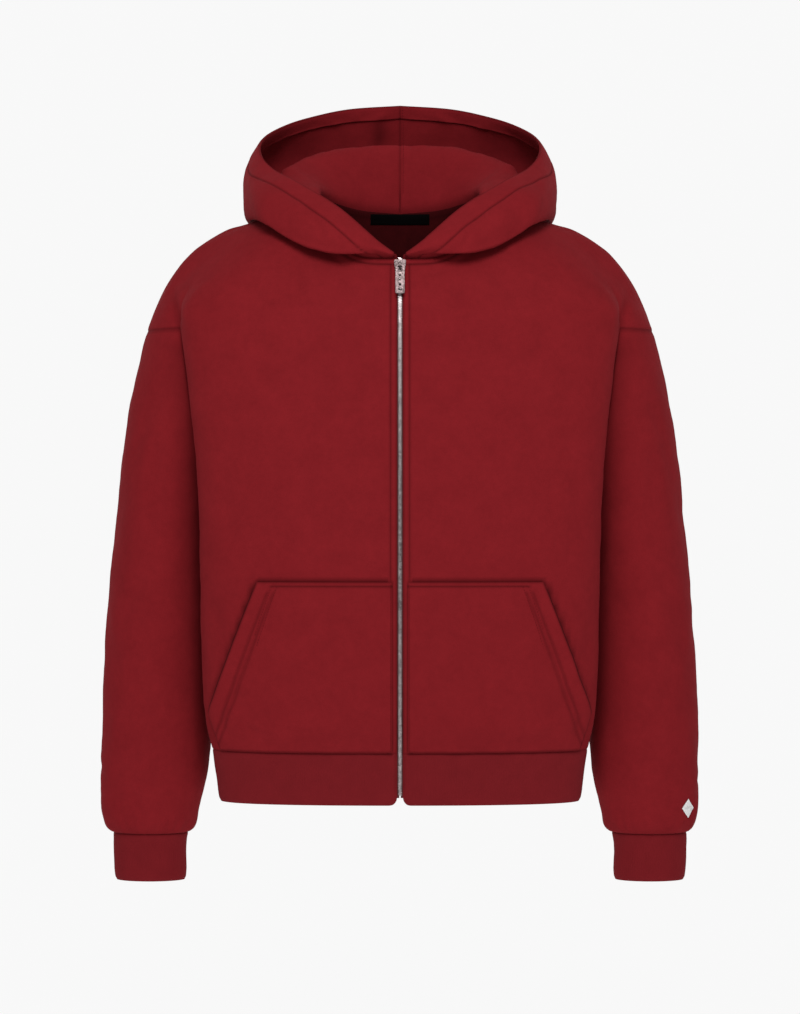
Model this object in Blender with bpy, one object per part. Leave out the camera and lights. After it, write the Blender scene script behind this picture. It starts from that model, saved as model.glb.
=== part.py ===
"""Zip up hoodie, worn shape, hollow. Metres, +Z up, front towards -Y, the wearer's left towards +X.

The origin is between the shoulders, where the wearer holds the garment up. Tables are in millimetres.
Every cloth piece is a wall: its outer face comes from sections, and its inner face lies WALL inside.
"""

import math
from collections import defaultdict, namedtuple

import bpy
from mathutils import Matrix, Vector

MM = 0.001
WALL = 2.5
SEAM_GAP = 0.34
LAY_GAP = 0.35
POCKET_CLOTH = 2.2
LABEL_CLOTH = 0.8
MOTIF_RAISE = 1.2
TAPE_WIDTH = 13.0
TAPE_CLOTH = 0.9

HEM_SEAM = -577.0
HEM_BOTTOM = -633.5
ZIP_END = -625.5
HEM_HEIGHTS = (HEM_BOTTOM, ZIP_END, -604.0, HEM_SEAM)
HEM_CORNER = 5.0
CAP_SEAM = -112.0
LEAN_DROP = 12.0
CUFF_SEAM = -676.0
CUFF_GATHER = (-640.0, -659.0, -670.0)
ZIP_HALF_GAP = 3.2
NECK_HALF_WIDTH = 92.0

TORSO_COLUMNS = 11
NECK_COLUMNS = 7
ARM_COLUMNS = 18
ARMHOLE_ROWS = 5
DOME_ROWS = 5
TORSO_ROWS = 6
SLEEVE_ROWS = 8
HOOD_ROWS = 13

# Horizontal sections of the body. The side is widest well in front, and the arm presses it in behind.
TORSO_WIDEST_Y = -45.0
FRONT_FULLNESS = 2.5
BACK_FULLNESS = 2.0
DENT_Y = 22.0
DENT_REACH = 52.0
Torso = namedtuple("Torso", "height half_width front back dent")
TORSO = [
    Torso(-633.5, 199, -110, 127, 0),
    Torso(-604, 203, -112, 128, 0),
    Torso(-577, 207, -116, 130, 0),
    Torso(-545, 214, -126, 140, 0),
    Torso(-504, 218, -131, 146, 2),
    Torso(-436, 220, -133, 148, 6),
    Torso(-369, 222.5, -132, 148, 12),
    Torso(-320, 224, -131, 148, 17),
    Torso(-275, 226, -130, 149, 17),
    Torso(-235, 229, -128, 150, 12),
    Torso(-190, 233, -126, 150, 6),
    Torso(-145, 238, -123, 148, 2),
    Torso(-112, 243, -120, 145, 0),
    Torso(-90, 247, -117, 141, 0),
]

# Horizontal sections of the arm: its outermost x, its half width, and its centre and half depth in y.
Arm = namedtuple("Arm", "height outer half_width centre_y half_depth")
ARM = [
    Arm(-676, 322.5, 42, 16, 30),
    Arm(-672, 328, 47.5, 16, 35),
    Arm(-664, 332.5, 51.7, 16, 40),
    Arm(-650, 335.5, 54.7, 16, 43),
    Arm(-629, 336.5, 57.8, 17, 46),
    Arm(-605, 336.5, 60, 19, 49),
    Arm(-573, 336.5, 61.5, 21, 53),
    Arm(-505, 334.5, 61.5, 27, 60),
    Arm(-436, 331.5, 61, 33, 66),
    Arm(-369, 326, 59, 37, 72),
    Arm(-320, 321, 58, 39, 75),
    Arm(-275, 317, 59, 39, 78),
    Arm(-235, 312, 62, 38, 79),
    Arm(-190, 304.5, 64, 36, 79),
    Arm(-150, 295.5, 63, 33, 78),
    Arm(-112, 285.5, 61, 30, 74),
    Arm(-90, 278, 59, 28, 70),
]

CUFF_CENTRE_Y = 16.0
Cuff = namedtuple("Cuff", "height centre_x half_width half_depth")
CUFF = [
    Cuff(-676, 280.5, 42, 30),
    Cuff(-687, 281.5, 40.8, 28.5),
    Cuff(-715, 281, 40.5, 28),
    Cuff(-728.5, 280.5, 39.5, 27),
]

# The shoulder seam, from the neck out to the sleeve seam.
Ridge = namedtuple("Ridge", "place out back up")
RIDGE = [
    Ridge(0, 92, -2, 34),
    Ridge(1, 130, 5, 22),
    Ridge(2, 171, 13, 9),
    Ridge(3, 196, 18, 2),
    Ridge(4, 227, 22, -17),
    Ridge(5, 249, 25, -38),
    Ridge(6, 266, 27, -63),
    Ridge(7, 277.5, 29, -88),
    Ridge(8, 285.5, 30, -112),
]
RIDGE_CORNER = 4.8

# Loops round the neck, by the turn in degrees from the zip to the nape.
Loop = namedtuple("Loop", "turn out back up")
NECK = [
    Loop(0, 0, -108, -41),
    Loop(30, 46, -95, -36),
    Loop(60, 80, -60, -8),
    Loop(90, 92, -2, 34),
    Loop(120, 80, 50, 38),
    Loop(150, 46, 82, 32),
    Loop(180, 0, 94, 29),
]
CREST = [
    Loop(0, 3, -109, -39.5),
    Loop(15, 25, -107, -36),
    Loop(35, 57, -97, -22),
    Loop(60, 94, -64, 6),
    Loop(80, 112, -22, 36),
    Loop(97, 124, 18, 50),
    Loop(112, 131, 60, 68),
    Loop(130, 117, 91, 86),
    Loop(150, 84, 110, 100),
    Loop(165, 45, 118, 107),
    Loop(180, 0, 120, 108),
]
TUCK = [
    Loop(0, 3, -111, -39),
    Loop(15, 27, -112, -36),
    Loop(35, 71, -108, -34),
    Loop(60, 119, -83, -18),
    Loop(80, 152, -54, 3),
    Loop(97, 170, 13, 12),
    Loop(112, 166, 72, 4),
    Loop(130, 146, 124, -14),
    Loop(150, 105, 162, -32),
    Loop(165, 58, 180, -42),
    Loop(180, 0, 186, -46),
]
BULGE = [
    Loop(0, 3, -112, -38),
    Loop(15, 28, -117, -30),
    Loop(35, 76, -108, -8),
    Loop(60, 126, -80, 20),
    Loop(80, 159, -40, 36),
    Loop(97, 175, 31, 58),
    Loop(112, 177, 88, 76),
    Loop(130, 163, 150, 84),
    Loop(150, 118, 197, 88),
    Loop(165, 64, 217, 86),
    Loop(180, 0, 223, 84),
]
RIM = [
    Loop(0, 3, -111, -36),
    Loop(15, 25, -111, -20),
    Loop(35, 66, -87, 17),
    Loop(60, 115, -46, 51),
    Loop(80, 143, -2, 70),
    Loop(97, 160, 42, 93),
    Loop(112, 159, 88, 115),
    Loop(130, 135, 140, 137),
    Loop(150, 98, 174, 153),
    Loop(165, 58, 192, 163),
    Loop(180, 0, 201, 168),
]
STAND_HEIGHT = 9.0

# The pocket's free edge, from its top corner down the hand opening to the hem seam.
Edge = namedtuple("Edge", "out up")
POCKET_EDGE = [
    Edge(154, -391),
    Edge(168, -427),
    Edge(184, -470),
    Edge(198, -509),
    Edge(207, -535),
    Edge(204, -549),
    Edge(195, -575),
]
POCKET_CENTRE = 8.0

# A lozenge on the left sleeve, by its corners in x and height.
MOTIF = [(321.0, -657.0), (328.0, -646.0), (321.0, -635.0), (314.0, -646.0)]
LABEL = [(-34.0, 15.5), (34.0, 15.5), (34.0, 27.0), (-34.0, 27.0)]

TAPE_START = 0.6
TEETH_HALF_WIDTH = 2.7
TEETH_PROUD = 0.3
TEETH_THICK = 2.2
PIVOT_HEIGHT = -50.0
PIVOT_OUT = 5.3
PLATE_BACK = 0.8
PLATE_FRONT = 3.6
PLATE_CORNERS = [(4.2, 5.0, 2.3), (-4.2, 5.0, 2.3), (-3.4, -6.2, 1.6), (3.4, -6.2, 1.6)]
BAIL_HALF_WIDTH = 1.1
BAIL_OUTER = [(-1.0, 4.0), (3.0, 3.7), (4.3, 2.2), (4.3, -2.4), (3.0, -4.0), (-1.0, -4.6)]
BAIL_INNER = [(-1.0, -3.2), (2.4, -2.8), (3.2, -1.8), (3.2, 1.7), (2.4, 2.6), (-1.0, 2.8)]
PULL_WIDTH = 10.0
PULL_LENGTH = 32.0
PULL_BAR = 0.9
PULL_THICK = 1.4
SLOT_HALF_WIDTH = 2.2
SLOT_LENGTH = 7.6
PULL_HOLES = [(-11.5, 1.2), (-15.5, 1.2), (-22.0, 1.3), (-27.2, 1.9)]

RED = (0.215, 0.0135, 0.018)
STEEL = (0.60, 0.59, 0.58)
BLACK = (0.012, 0.011, 0.011)
WHITE = (0.82, 0.80, 0.80)


def clear_scene():
    for thing in list(bpy.data.objects):
        bpy.data.objects.remove(thing, do_unlink=True)


def material(name, colour, roughness, metallic=0.0):
    made = bpy.data.materials.new(name)
    made.use_nodes = True
    shader = made.node_tree.nodes["Principled BSDF"]
    shader.inputs["Base Color"].default_value = (*colour, 1.0)
    shader.inputs["Roughness"].default_value = roughness
    shader.inputs["Metallic"].default_value = metallic
    return made


def read(rows, key, field, at):
    """The table's column at a value of its key, on a smooth curve through the rows."""
    keys = [getattr(row, key) for row in rows]
    values = [getattr(row, field) for row in rows]
    at = min(max(at, keys[0]), keys[-1])
    last = len(rows) - 2
    i = next((k for k in range(last) if at <= keys[k + 1]), last)

    def slope(k):
        before, after = max(k - 1, 0), min(k + 1, last + 1)
        return (values[after] - values[before]) / (keys[after] - keys[before])

    step = keys[i + 1] - keys[i]
    t = (at - keys[i]) / step
    rise = values[i + 1] - values[i]
    a = slope(i) * step - rise
    b = rise - slope(i + 1) * step
    return values[i] + t * rise + t * (1 - t) * (a * (1 - t) + b * t)


def torso_side(height, y):
    """How far out the body reaches at a height and a depth, or None where it doesn't reach that deep."""
    width = read(TORSO, "height", "half_width", height)
    if y < TORSO_WIDEST_Y:
        depth = TORSO_WIDEST_Y - read(TORSO, "height", "front", height)
        fullness = FRONT_FULLNESS
    else:
        depth = read(TORSO, "height", "back", height) - TORSO_WIDEST_Y
        fullness = BACK_FULLNESS
    share = abs(y - TORSO_WIDEST_Y) / depth
    if share >= 1:
        return None
    dent = read(TORSO, "height", "dent", height)
    pressed = dent * math.exp(-(((y - DENT_Y) / DENT_REACH) ** 2))
    return width * (1 - share**fullness) ** (1 / fullness) - pressed


def torso_outline(height, front, steps=180):
    """The section from the centre line to the widest point and on to the other side of it."""
    width = read(TORSO, "height", "half_width", height)
    dent = read(TORSO, "height", "dent", height)
    points = []
    for step in range(steps + 1):
        turn = math.pi * step / steps
        if not front:
            turn = math.pi - turn
        if turn < math.pi / 2:
            fullness = FRONT_FULLNESS
            depth = read(TORSO, "height", "front", height) - TORSO_WIDEST_Y
        else:
            fullness = BACK_FULLNESS
            depth = read(TORSO, "height", "back", height) - TORSO_WIDEST_Y
        x = width * abs(math.sin(turn)) ** (2 / fullness)
        y = TORSO_WIDEST_Y + depth * abs(math.cos(turn)) ** (2 / fullness)
        x -= dent * math.exp(-(((y - DENT_Y) / DENT_REACH) ** 2)) * min(1, x / 60)
        points.append(Vector((x, y, height)))
    return points


def arm_point(height, turn):
    """A point of the arm's section. Turn 0 is outermost, and a positive turn goes by the front."""
    outer = read(ARM, "height", "outer", height)
    width = read(ARM, "height", "half_width", height)
    y = read(ARM, "height", "centre_y", height) - read(ARM, "height", "half_depth", height) * math.sin(turn)
    return Vector((outer - width + width * math.cos(turn), y, height))


def arm_meets_body(height, side):
    """The turn at which the arm's section enters the body's, by the front (1) or the back (-1)."""
    steps = 120
    for step in range(steps):
        turn = 1.3 * math.pi * step / steps
        point = arm_point(height, side * turn)
        reach = torso_side(height, point.y)
        if reach is not None and point.x < reach:
            low, high = turn - 1.3 * math.pi / steps, turn
            for _ in range(30):
                middle = (low + high) / 2
                point = arm_point(height, side * middle)
                reach = torso_side(height, point.y)
                if reach is not None and point.x < reach:
                    high = middle
                else:
                    low = middle
            return side * low
    return None


def find_underarm():
    """The height at which body and arm just touch."""
    high, low = CAP_SEAM, -340.0
    for _ in range(40):
        middle = (low + high) / 2
        if arm_meets_body(middle, 1) is None:
            low = middle
        else:
            high = middle
    return high


def spread(points, count):
    """Points at equal distances along a line of points."""
    lengths = [0.0]
    for a, b in zip(points, points[1:]):
        lengths.append(lengths[-1] + (b - a).length)
    found = []
    k = 0
    for step in range(count + 1):
        wanted = lengths[-1] * step / count
        while k < len(points) - 2 and lengths[k + 1] < wanted:
            k += 1
        share = (wanted - lengths[k]) / max(lengths[k + 1] - lengths[k], 1e-9)
        found.append(points[k].lerp(points[k + 1], min(share, 1.0)))
    return found


def torso_row(height, front, first_x, end):
    """A row of one panel, from its centre edge round to the side or to the armhole point."""
    line = torso_outline(height, front)
    line = [p for p in line if p.x > first_x]
    beyond = next((k for k, p in enumerate(line) if (p.y > end.y) == front and k > 0), len(line))
    start = Vector((first_x, line[0].y, height))
    return spread([start] + line[:beyond] + [end], TORSO_COLUMNS)


def arm_row(height, first_turn, last_turn, steps=120):
    turns = [first_turn + (last_turn - first_turn) * k / steps for k in range(steps + 1)]
    return spread([arm_point(height, turn) for turn in turns], ARM_COLUMNS)


UNDERARM = find_underarm()
UNDERARM_TURN = arm_meets_body(UNDERARM, 1)


def armhole(height):
    """The armhole's front and back points at a height from the underarm up to the sleeve cap's seam."""
    if height <= UNDERARM + 0.01:
        point = arm_point(UNDERARM, UNDERARM_TURN)
        return point, point
    front = arm_meets_body(height, 1)
    back = arm_meets_body(height, -1)
    return arm_point(height, front), arm_point(height, back)


def side_seam(height):
    y = armhole(UNDERARM)[0].y
    return Vector((torso_side(height, y), y, height))


def body_heights():
    """The heights of the rows below the sleeve cap's seam, from the hem seam up."""
    low = [HEM_SEAM + (UNDERARM - HEM_SEAM) * k / TORSO_ROWS for k in range(TORSO_ROWS)]
    return low + armhole_heights()


def armhole_heights():
    return [UNDERARM + (CAP_SEAM - UNDERARM) * (k / ARMHOLE_ROWS) ** 1.6 for k in range(ARMHOLE_ROWS + 1)]


def loop_point(loop, turn):
    return Vector([read(loop, "turn", field, turn) for field in ("out", "back", "up")])


def ridge_point(place):
    """A point on the shoulder seam, by its place in the table."""
    return Vector([read(RIDGE, "place", field, place) for field in ("out", "back", "up")])


def rise(base, lean, top, arrive, t):
    """A curve from a base point to a top point that leaves and arrives in given directions."""
    length = (top - base).length
    start = lean.normalized() * length
    end = arrive.normalized() * length
    return (
        base * (1 + 2 * t) * (1 - t) ** 2
        + start * t * (1 - t) ** 2
        + top * t * t * (3 - 2 * t)
        - end * t * t * (1 - t)
    )


def neck_turn(front, share, first_x):
    """The turn round the neck at a share of the way from the centre to the shoulder seam."""
    first = math.degrees(math.asin(first_x / NECK_HALF_WIDTH)) if first_x else 0.0
    turn = first + (90 - first) * share
    return turn if front else 180 - turn


def shoulder_rows(front, first_x):
    """The part of a panel above the sleeve cap's seam: its rows from the seam up, across body and arm."""
    at = armhole(CAP_SEAM)[0 if front else 1]
    below = CAP_SEAM - LEAN_DROP
    under_at = armhole(below)[0 if front else 1]
    base = torso_row(CAP_SEAM, front, first_x, at)
    under = torso_row(below, front, first_x, under_at)
    way = 1 if front else -1
    half = ARM_COLUMNS // 2
    arm = cap_seam_line()
    lower_arm = arm_row(below, arm_meets_body(below, 1), arm_meets_body(below, -1))
    if not front:
        arm = arm[::-1]
        lower_arm = lower_arm[::-1]
    base += arm[1 : half + 1]
    under += lower_arm[1 : half + 1]
    tops = []
    arrives = []
    for k in range(TORSO_COLUMNS + half + 1):
        if k <= NECK_COLUMNS:
            share = k / NECK_COLUMNS
            tops.append(loop_point(NECK, neck_turn(front, share, first_x)))
            up = Vector((-0.1 * share, way * 0.25, 1.0))
            over = Vector((-0.35, way, 0.35))
            arrives.append(up.lerp(over, share**1.5))
        else:
            place = RIDGE_CORNER * (k - NECK_COLUMNS) / (TORSO_COLUMNS + half - NECK_COLUMNS)
            tops.append(ridge_point(place))
            arrives.append(Vector((-0.25, way, 0.25)))
    rows = []
    last = TORSO_COLUMNS + half
    outer_end = RIDGE[-1].place
    for row in range(DOME_ROWS + 1):
        t = row / DOME_ROWS
        points = []
        for k in range(last + 1):
            if k == last:
                place = outer_end - (outer_end - RIDGE_CORNER) * t
                points.append(ridge_point(place))
            else:
                points.append(rise(base[k], base[k] - under[k], tops[k], arrives[k], t))
        rows.append(points)
    return rows


def cap_seam_line():
    """The sleeve cap's seam, from the armhole's front point over the outside to its back point."""
    half = ARM_COLUMNS // 2
    front = arm_meets_body(CAP_SEAM, 1)
    back = arm_meets_body(CAP_SEAM, -1)
    steps = 60
    before = [arm_point(CAP_SEAM, front * (1 - k / steps)) for k in range(steps + 1)]
    after = [arm_point(CAP_SEAM, back * k / steps) for k in range(steps + 1)]
    return spread(before, half) + spread(after, half)[1:]


def panel_grid(front, first_x):
    """The rows of a panel from the hem seam to the neck, and the rows of its shoulder part."""
    rows = []
    for height in body_heights():
        if height < UNDERARM - 0.01:
            end = side_seam(height)
        else:
            end = armhole(height)[0 if front else 1]
        rows.append(torso_row(height, front, first_x, end))
    return rows, shoulder_rows(front, first_x)


def quads_between(rows):
    faces = []
    for low, high in zip(rows, rows[1:]):
        for k in range(len(low) - 1):
            faces.append((low[k], low[k + 1], high[k + 1], high[k]))
    return faces


def turned(faces):
    """The same faces seen from behind, each still split along the same diagonal."""
    return [(a, d, c, b) for a, b, c, d in faces]


def mirrored(faces):
    return turned([tuple(Vector((-p.x, p.y, p.z)) for p in face) for face in faces])


def body_faces(front, first_x):
    """The faces of one half panel. Front panels run outwards seen from the front, back panels inwards."""
    lower, shoulder = panel_grid(front, first_x)
    faces = quads_between(lower) + quads_between(shoulder)
    return faces if front else turned(faces)


def sleeve_faces():
    rows = []
    for height in armhole_heights()[:0:-1]:
        if height == CAP_SEAM:
            rows.append(cap_seam_line())
        else:
            rows.append(arm_row(height, arm_meets_body(height, 1), arm_meets_body(height, -1)))
    for height in [UNDERARM] + sleeve_heights():
        rows.append(arm_row(height, UNDERARM_TURN, UNDERARM_TURN - 2 * math.pi))
    return turned(quads_between(rows))


def sleeve_heights():
    """Rows from below the underarm to the cuff seam, closer together where the cloth gathers to the cuff."""
    drop = CUFF_GATHER[0] - UNDERARM
    even = [UNDERARM + drop * (k + 1) / SLEEVE_ROWS for k in range(SLEEVE_ROWS)]
    return even + list(CUFF_GATHER[1:]) + [CUFF_SEAM]


def cuff_faces():
    rows = []
    for row in CUFF:
        ring = []
        for k in range(121):
            turn = UNDERARM_TURN - 2 * math.pi * k / 120
            y = CUFF_CENTRE_Y - row.half_depth * math.sin(turn)
            ring.append(Vector((row.centre_x + row.half_width * math.cos(turn), y, row.height)))
        rows.append(spread(ring, ARM_COLUMNS))
    return turned(quads_between(rows))


def hem_rows(first_x):
    """The half ring of the hem band from the zip to the centre back, its low front corner cut off."""
    rows = []
    for height in HEM_HEIGHTS:
        end = side_seam(height)
        front = torso_row(height, True, first_x + (HEM_CORNER if height == HEM_BOTTOM else 0), end)
        back = torso_row(height, False, 0.0, end)
        rows.append(front + back[-2::-1])
    return rows


def hood_profile(turn, count=HOOD_ROWS):
    """One section of the hood from its neck seam to its rim."""
    neck = loop_point(NECK, turn)
    share = min(1.0, max(0.0, (turn - 8) / 50))
    stand = neck + Vector((0, 0, 1.0 + (STAND_HEIGHT - 1.0) * share))
    marks = [neck, stand] + [loop_point(loop, turn) for loop in (CREST, TUCK, BULGE, RIM)]
    return spread(curve_through(marks), count)


def curve_through(marks, steps=14):
    """A smooth line through the marks, with more even speed on short spans."""
    padded = [marks[0] * 2 - marks[1]] + marks + [marks[-1] * 2 - marks[-2]]
    points = []
    for a, b, c, d in zip(padded, padded[1:], padded[2:], padded[3:]):
        ab, bc, cd = ((q - p).length ** 0.5 for p, q in ((a, b), (b, c), (c, d)))
        start = ((b - a) / ab - (c - a) / (ab + bc) + (c - b) / bc) * bc
        end = ((c - b) / bc - (d - b) / (bc + cd) + (d - c) / cd) * bc
        for step in range(steps):
            t = step / steps
            points.append(
                b * (1 + 2 * t) * (1 - t) ** 2 + start * t * (1 - t) ** 2
                + c * t * t * (3 - 2 * t) - end * t * t * (1 - t)
            )
    points.append(marks[-1].copy())
    return points


def hood_turns():
    """The turns of the hood's sections. The first ones stand over the columns of the neckline."""
    turns = [neck_turn(True, k / NECK_COLUMNS, ZIP_HALF_GAP) for k in range(NECK_COLUMNS)]
    back = [neck_turn(False, k / NECK_COLUMNS, 0.0) for k in range(NECK_COLUMNS, -1, -1)]
    return turns + back


def hood_faces():
    sections = [hood_profile(turn) for turn in hood_turns()]
    return turned(quads_between(sections))


class Cloth:
    """Pieces that share their seams: the wall's direction at a seam is the same on both sides of it."""

    def __init__(self):
        self.pieces = {}
        self.areas = defaultdict(dict)
        self.leans = {}

    @staticmethod
    def key(point):
        return tuple(round(value * 1000) for value in point)

    def add(self, name, faces, part):
        """Adds a piece. Pieces of the same part, such as the body, run smoothly into each other."""
        triangles = []
        for face in faces:
            for corner in ((0, 1, 2), (0, 2, 3)):
                triangle = [face[k] for k in corner]
                keys = [self.key(p) for p in triangle]
                if len(set(keys)) < 3:
                    continue
                area = (triangle[1] - triangle[0]).cross(triangle[2] - triangle[0])
                if area.length < 1e-6:
                    continue
                triangles.append(triangle)
                for key in keys:
                    self.areas[key][part] = self.areas[key].get(part, Vector()) + area
        self.pieces[name] = triangles

    def normal(self, point):
        key = self.key(point)
        if key in self.leans:
            return self.leans[key]
        return sum((area.normalized() for area in self.areas[key].values()), Vector()).normalized()

    def inset(self, triangles, gap):
        """How far each point on a piece's edge moves inwards along the cloth, to leave the seam's gap."""
        edges = {}
        for triangle in triangles:
            for a, b, c in ((0, 1, 2), (1, 2, 0), (2, 0, 1)):
                pair = (self.key(triangle[a]), self.key(triangle[b]))
                if pair[::-1] in edges:
                    del edges[pair[::-1]]
                else:
                    edges[pair] = (triangle[a], triangle[b], triangle[c])
        moves = defaultdict(list)
        for (first, second), (a, b, c) in edges.items():
            along = (b - a).normalized()
            inward = (c - a) - along * (c - a).dot(along)
            for key in (first, second):
                moves[key].append(inward.normalized())
        shifts = {}
        for key, ways in moves.items():
            total = sum(ways, Vector())
            if len(ways) == 2:
                total = total / max(1 + ways[0].dot(ways[1]), 0.5)
            else:
                total = total.normalized()
            shifts[key] = total * gap
        return shifts, set(edges)

    def wall(self, name, finish, thickness=WALL, gap=SEAM_GAP / 2):
        triangles = self.pieces[name]
        shifts, edges = self.inset(triangles, gap)
        numbers = {}
        outer = []
        inner = []
        faces = []
        for triangle in triangles:
            for point in triangle:
                key = self.key(point)
                if key not in numbers:
                    numbers[key] = len(outer)
                    moved = point + shifts.get(key, Vector())
                    outer.append(moved)
                    inner.append(moved - self.normal(point) * thickness)
        count = len(outer)
        for triangle in triangles:
            a, b, c = (numbers[self.key(p)] for p in triangle)
            faces.append((a, b, c))
            faces.append((c + count, b + count, a + count))
        for first, second in edges:
            a, b = numbers[first], numbers[second]
            if first < second:
                faces += [(b, a, b + count), (a, a + count, b + count)]
            else:
                faces += [(b, a, a + count), (b, a + count, b + count)]
        return solid(name, outer + inner, faces, finish)


def solid(name, points, faces, finish, smooth=True):
    mesh = bpy.data.meshes.new(name)
    mesh.from_pydata([p * MM for p in points], [], faces)
    mesh.validate()
    mesh.materials.append(finish)
    if smooth:
        mesh.shade_smooth()
        mesh.set_sharp_from_angle(angle=math.radians(50))
    thing = bpy.data.objects.new(name, mesh)
    bpy.context.scene.collection.objects.link(thing)
    return thing


def clip(polygon, a, b):
    """The part of a polygon on the left of the line from a to b, as seen in the x and z plane."""

    def side(point):
        return (b[0] - a[0]) * (point.z - a[1]) - (b[1] - a[1]) * (point.x - a[0])

    kept = []
    for k, (point, normal) in enumerate(polygon):
        before, before_normal = polygon[k - 1]
        here, there = side(point), side(before)
        if (here > 0) != (there > 0):
            share = there / (there - here)
            kept.append((before.lerp(point, share), before_normal.lerp(normal, share)))
        if here > 0:
            kept.append((point, normal))
    return kept


def overlay(cloth, base, outline, name, lift, facing=-1):
    """Adds a flat piece lying on another: its faces within an outline, moved out by lift.

    The outline runs anticlockwise in x and height, and facing is the sign of y on the side that counts.
    """
    triangles = []
    for corners in cloth.pieces[base]:
        if facing * (corners[1] - corners[0]).cross(corners[2] - corners[0]).y < 1e-6:
            continue
        polygon = [(p, cloth.normal(p)) for p in corners]
        for a, b in zip(outline, outline[1:] + outline[:1]):
            polygon = clip(polygon, a, b)
        moved = []
        for point, normal in polygon:
            moved.append(point + normal.normalized() * lift)
            cloth.leans[Cloth.key(moved[-1])] = normal.normalized()
        for k in range(1, len(moved) - 1):
            triangle = [moved[0], moved[k], moved[k + 1]]
            if len({Cloth.key(p) for p in triangle}) == 3:
                triangles.append(triangle)
    cloth.pieces[name] = triangles


def mirror_piece(cloth, name, new_name):
    """Adds the mirror image of an overlay on the other side."""
    turned = []
    for triangle in cloth.pieces[name]:
        flipped = [Vector((-p.x, p.y, p.z)) for p in reversed(triangle)]
        for point, image in zip(reversed(triangle), flipped):
            lean = cloth.leans[Cloth.key(point)]
            cloth.leans[Cloth.key(image)] = Vector((-lean.x, lean.y, lean.z))
        turned.append(flipped)
    cloth.pieces[new_name] = turned


def centre_front(cloth):
    """The front edge from the zip's end to the neck: each point, the next column's, and their leans."""
    lower, shoulder = panel_grid(True, ZIP_HALF_GAP)
    rows = hem_rows(ZIP_HALF_GAP)[1:-1] + lower + shoulder[1:]
    return [(row[0], row[1], cloth.normal(row[0]), cloth.normal(row[1])) for row in rows]


def zip_tape(cloth):
    """A tape sewn behind the front edge, from the teeth outwards."""
    rows = []
    for first, second, lean, next_lean in centre_front(cloth):
        row = []
        for x in (TAPE_START, TAPE_START + TAPE_WIDTH):
            share = (x - first.x) / (second.x - first.x)
            normal = lean.lerp(next_lean, share)
            normal = Vector((0, normal.y, normal.z)).normalized()
            point = first.lerp(second, share) - normal * (WALL + LAY_GAP)
            cloth.leans[Cloth.key(point)] = normal
            row.append(point)
        rows.append(row)
    return quads_between(rows)


def zip_teeth(cloth):
    """The strip that the closed teeth fill, between the two front edges."""
    rows = []
    for first, _, lean, _ in centre_front(cloth):
        normal = Vector((0, lean.y, lean.z)).normalized()
        middle = Vector((0, first.y, first.z)) + normal * TEETH_PROUD
        row = [middle + Vector((x, 0, 0)) for x in (-TEETH_HALF_WIDTH, TEETH_HALF_WIDTH)]
        for point in row:
            cloth.leans[Cloth.key(point)] = normal
        rows.append(row)
    return quads_between(rows)


def arc(centre_x, centre_y, radius, first, last, steps=6):
    turns = [math.radians(first + (last - first) * k / steps) for k in range(steps + 1)]
    return [(centre_x + radius * math.cos(turn), centre_y + radius * math.sin(turn)) for turn in turns]


def rounded(left, right, bottom, top, radius):
    """A rectangle with round corners, as a list of points."""
    return (
        arc(right - radius, top - radius, radius, 0, 90)
        + arc(left + radius, top - radius, radius, 90, 180)
        + arc(left + radius, bottom + radius, radius, 180, 270)
        + arc(right - radius, bottom + radius, radius, 270, 360)
    )


def prism(name, outline, back, front, place, finish):
    """An outline in x and height, given a thickness from back to front, then put in its place."""
    count = len(outline)
    points = [place @ Vector((x, -out, z)) for out in (front, back) for x, z in outline]
    faces = [tuple(range(count)), tuple(range(2 * count - 1, count - 1, -1))]
    for k in range(count):
        following = (k + 1) % count
        faces.append((k, k + count, following + count, following))
    return solid(name, points, faces, finish, smooth=False)


def boolean(target, tool, operation):
    tool.hide_render = True
    tool.display_type = "WIRE"
    change = target.modifiers.new(tool.name, "BOOLEAN")
    change.operation = operation
    change.solver = "EXACT"
    change.object = tool


def slider_place(cloth):
    """The frame of the slider on the zip: x across, -y outwards from the cloth, z up along the front."""
    line = centre_front(cloth)
    low, high = next((a, b) for a, b in zip(line, line[1:]) if a[0].z <= PIVOT_HEIGHT < b[0].z)
    share = (PIVOT_HEIGHT - low[0].z) / (high[0].z - low[0].z)
    point = low[0].lerp(high[0], share)
    across = Vector((1, 0, 0))
    up = (high[0] - low[0]).normalized()
    axes = Matrix((across, up.cross(across).normalized(), up)).transposed()
    return Matrix.Translation((0, point.y, point.z)) @ axes.to_4x4()


def build_slider(place, steel):
    """The slider's front plate, wider at the top, and the bail that the pull tab hangs from."""
    outline = []
    for (x, up, radius), first in zip(PLATE_CORNERS, (0, 90, 180, 270)):
        outline += arc(x, up, radius, first, first + 90)
    plate = prism("zip_slider", outline, PLATE_BACK, PLATE_FRONT, place, steel)
    loop = [(PLATE_FRONT + out, up) for out, up in BAIL_OUTER + BAIL_INNER]
    count = len(loop)
    points = [place @ Vector((x, -out, z)) for x in (-BAIL_HALF_WIDTH, BAIL_HALF_WIDTH) for out, z in loop]
    half = count // 2
    faces = []
    for k in range(half - 1):
        faces.append((k, k + 1, count - 2 - k, count - 1 - k))
        faces.append((2 * count - 1 - k, 2 * count - 2 - k, count + k + 1, count + k))
    for k in range(count):
        following = (k + 1) % count
        faces.append((following, k, k + count, following + count))
    bail = solid("slider_bail_tool", points, faces, steel, smooth=False)
    boolean(plate, bail, "UNION")
    return plate


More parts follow.
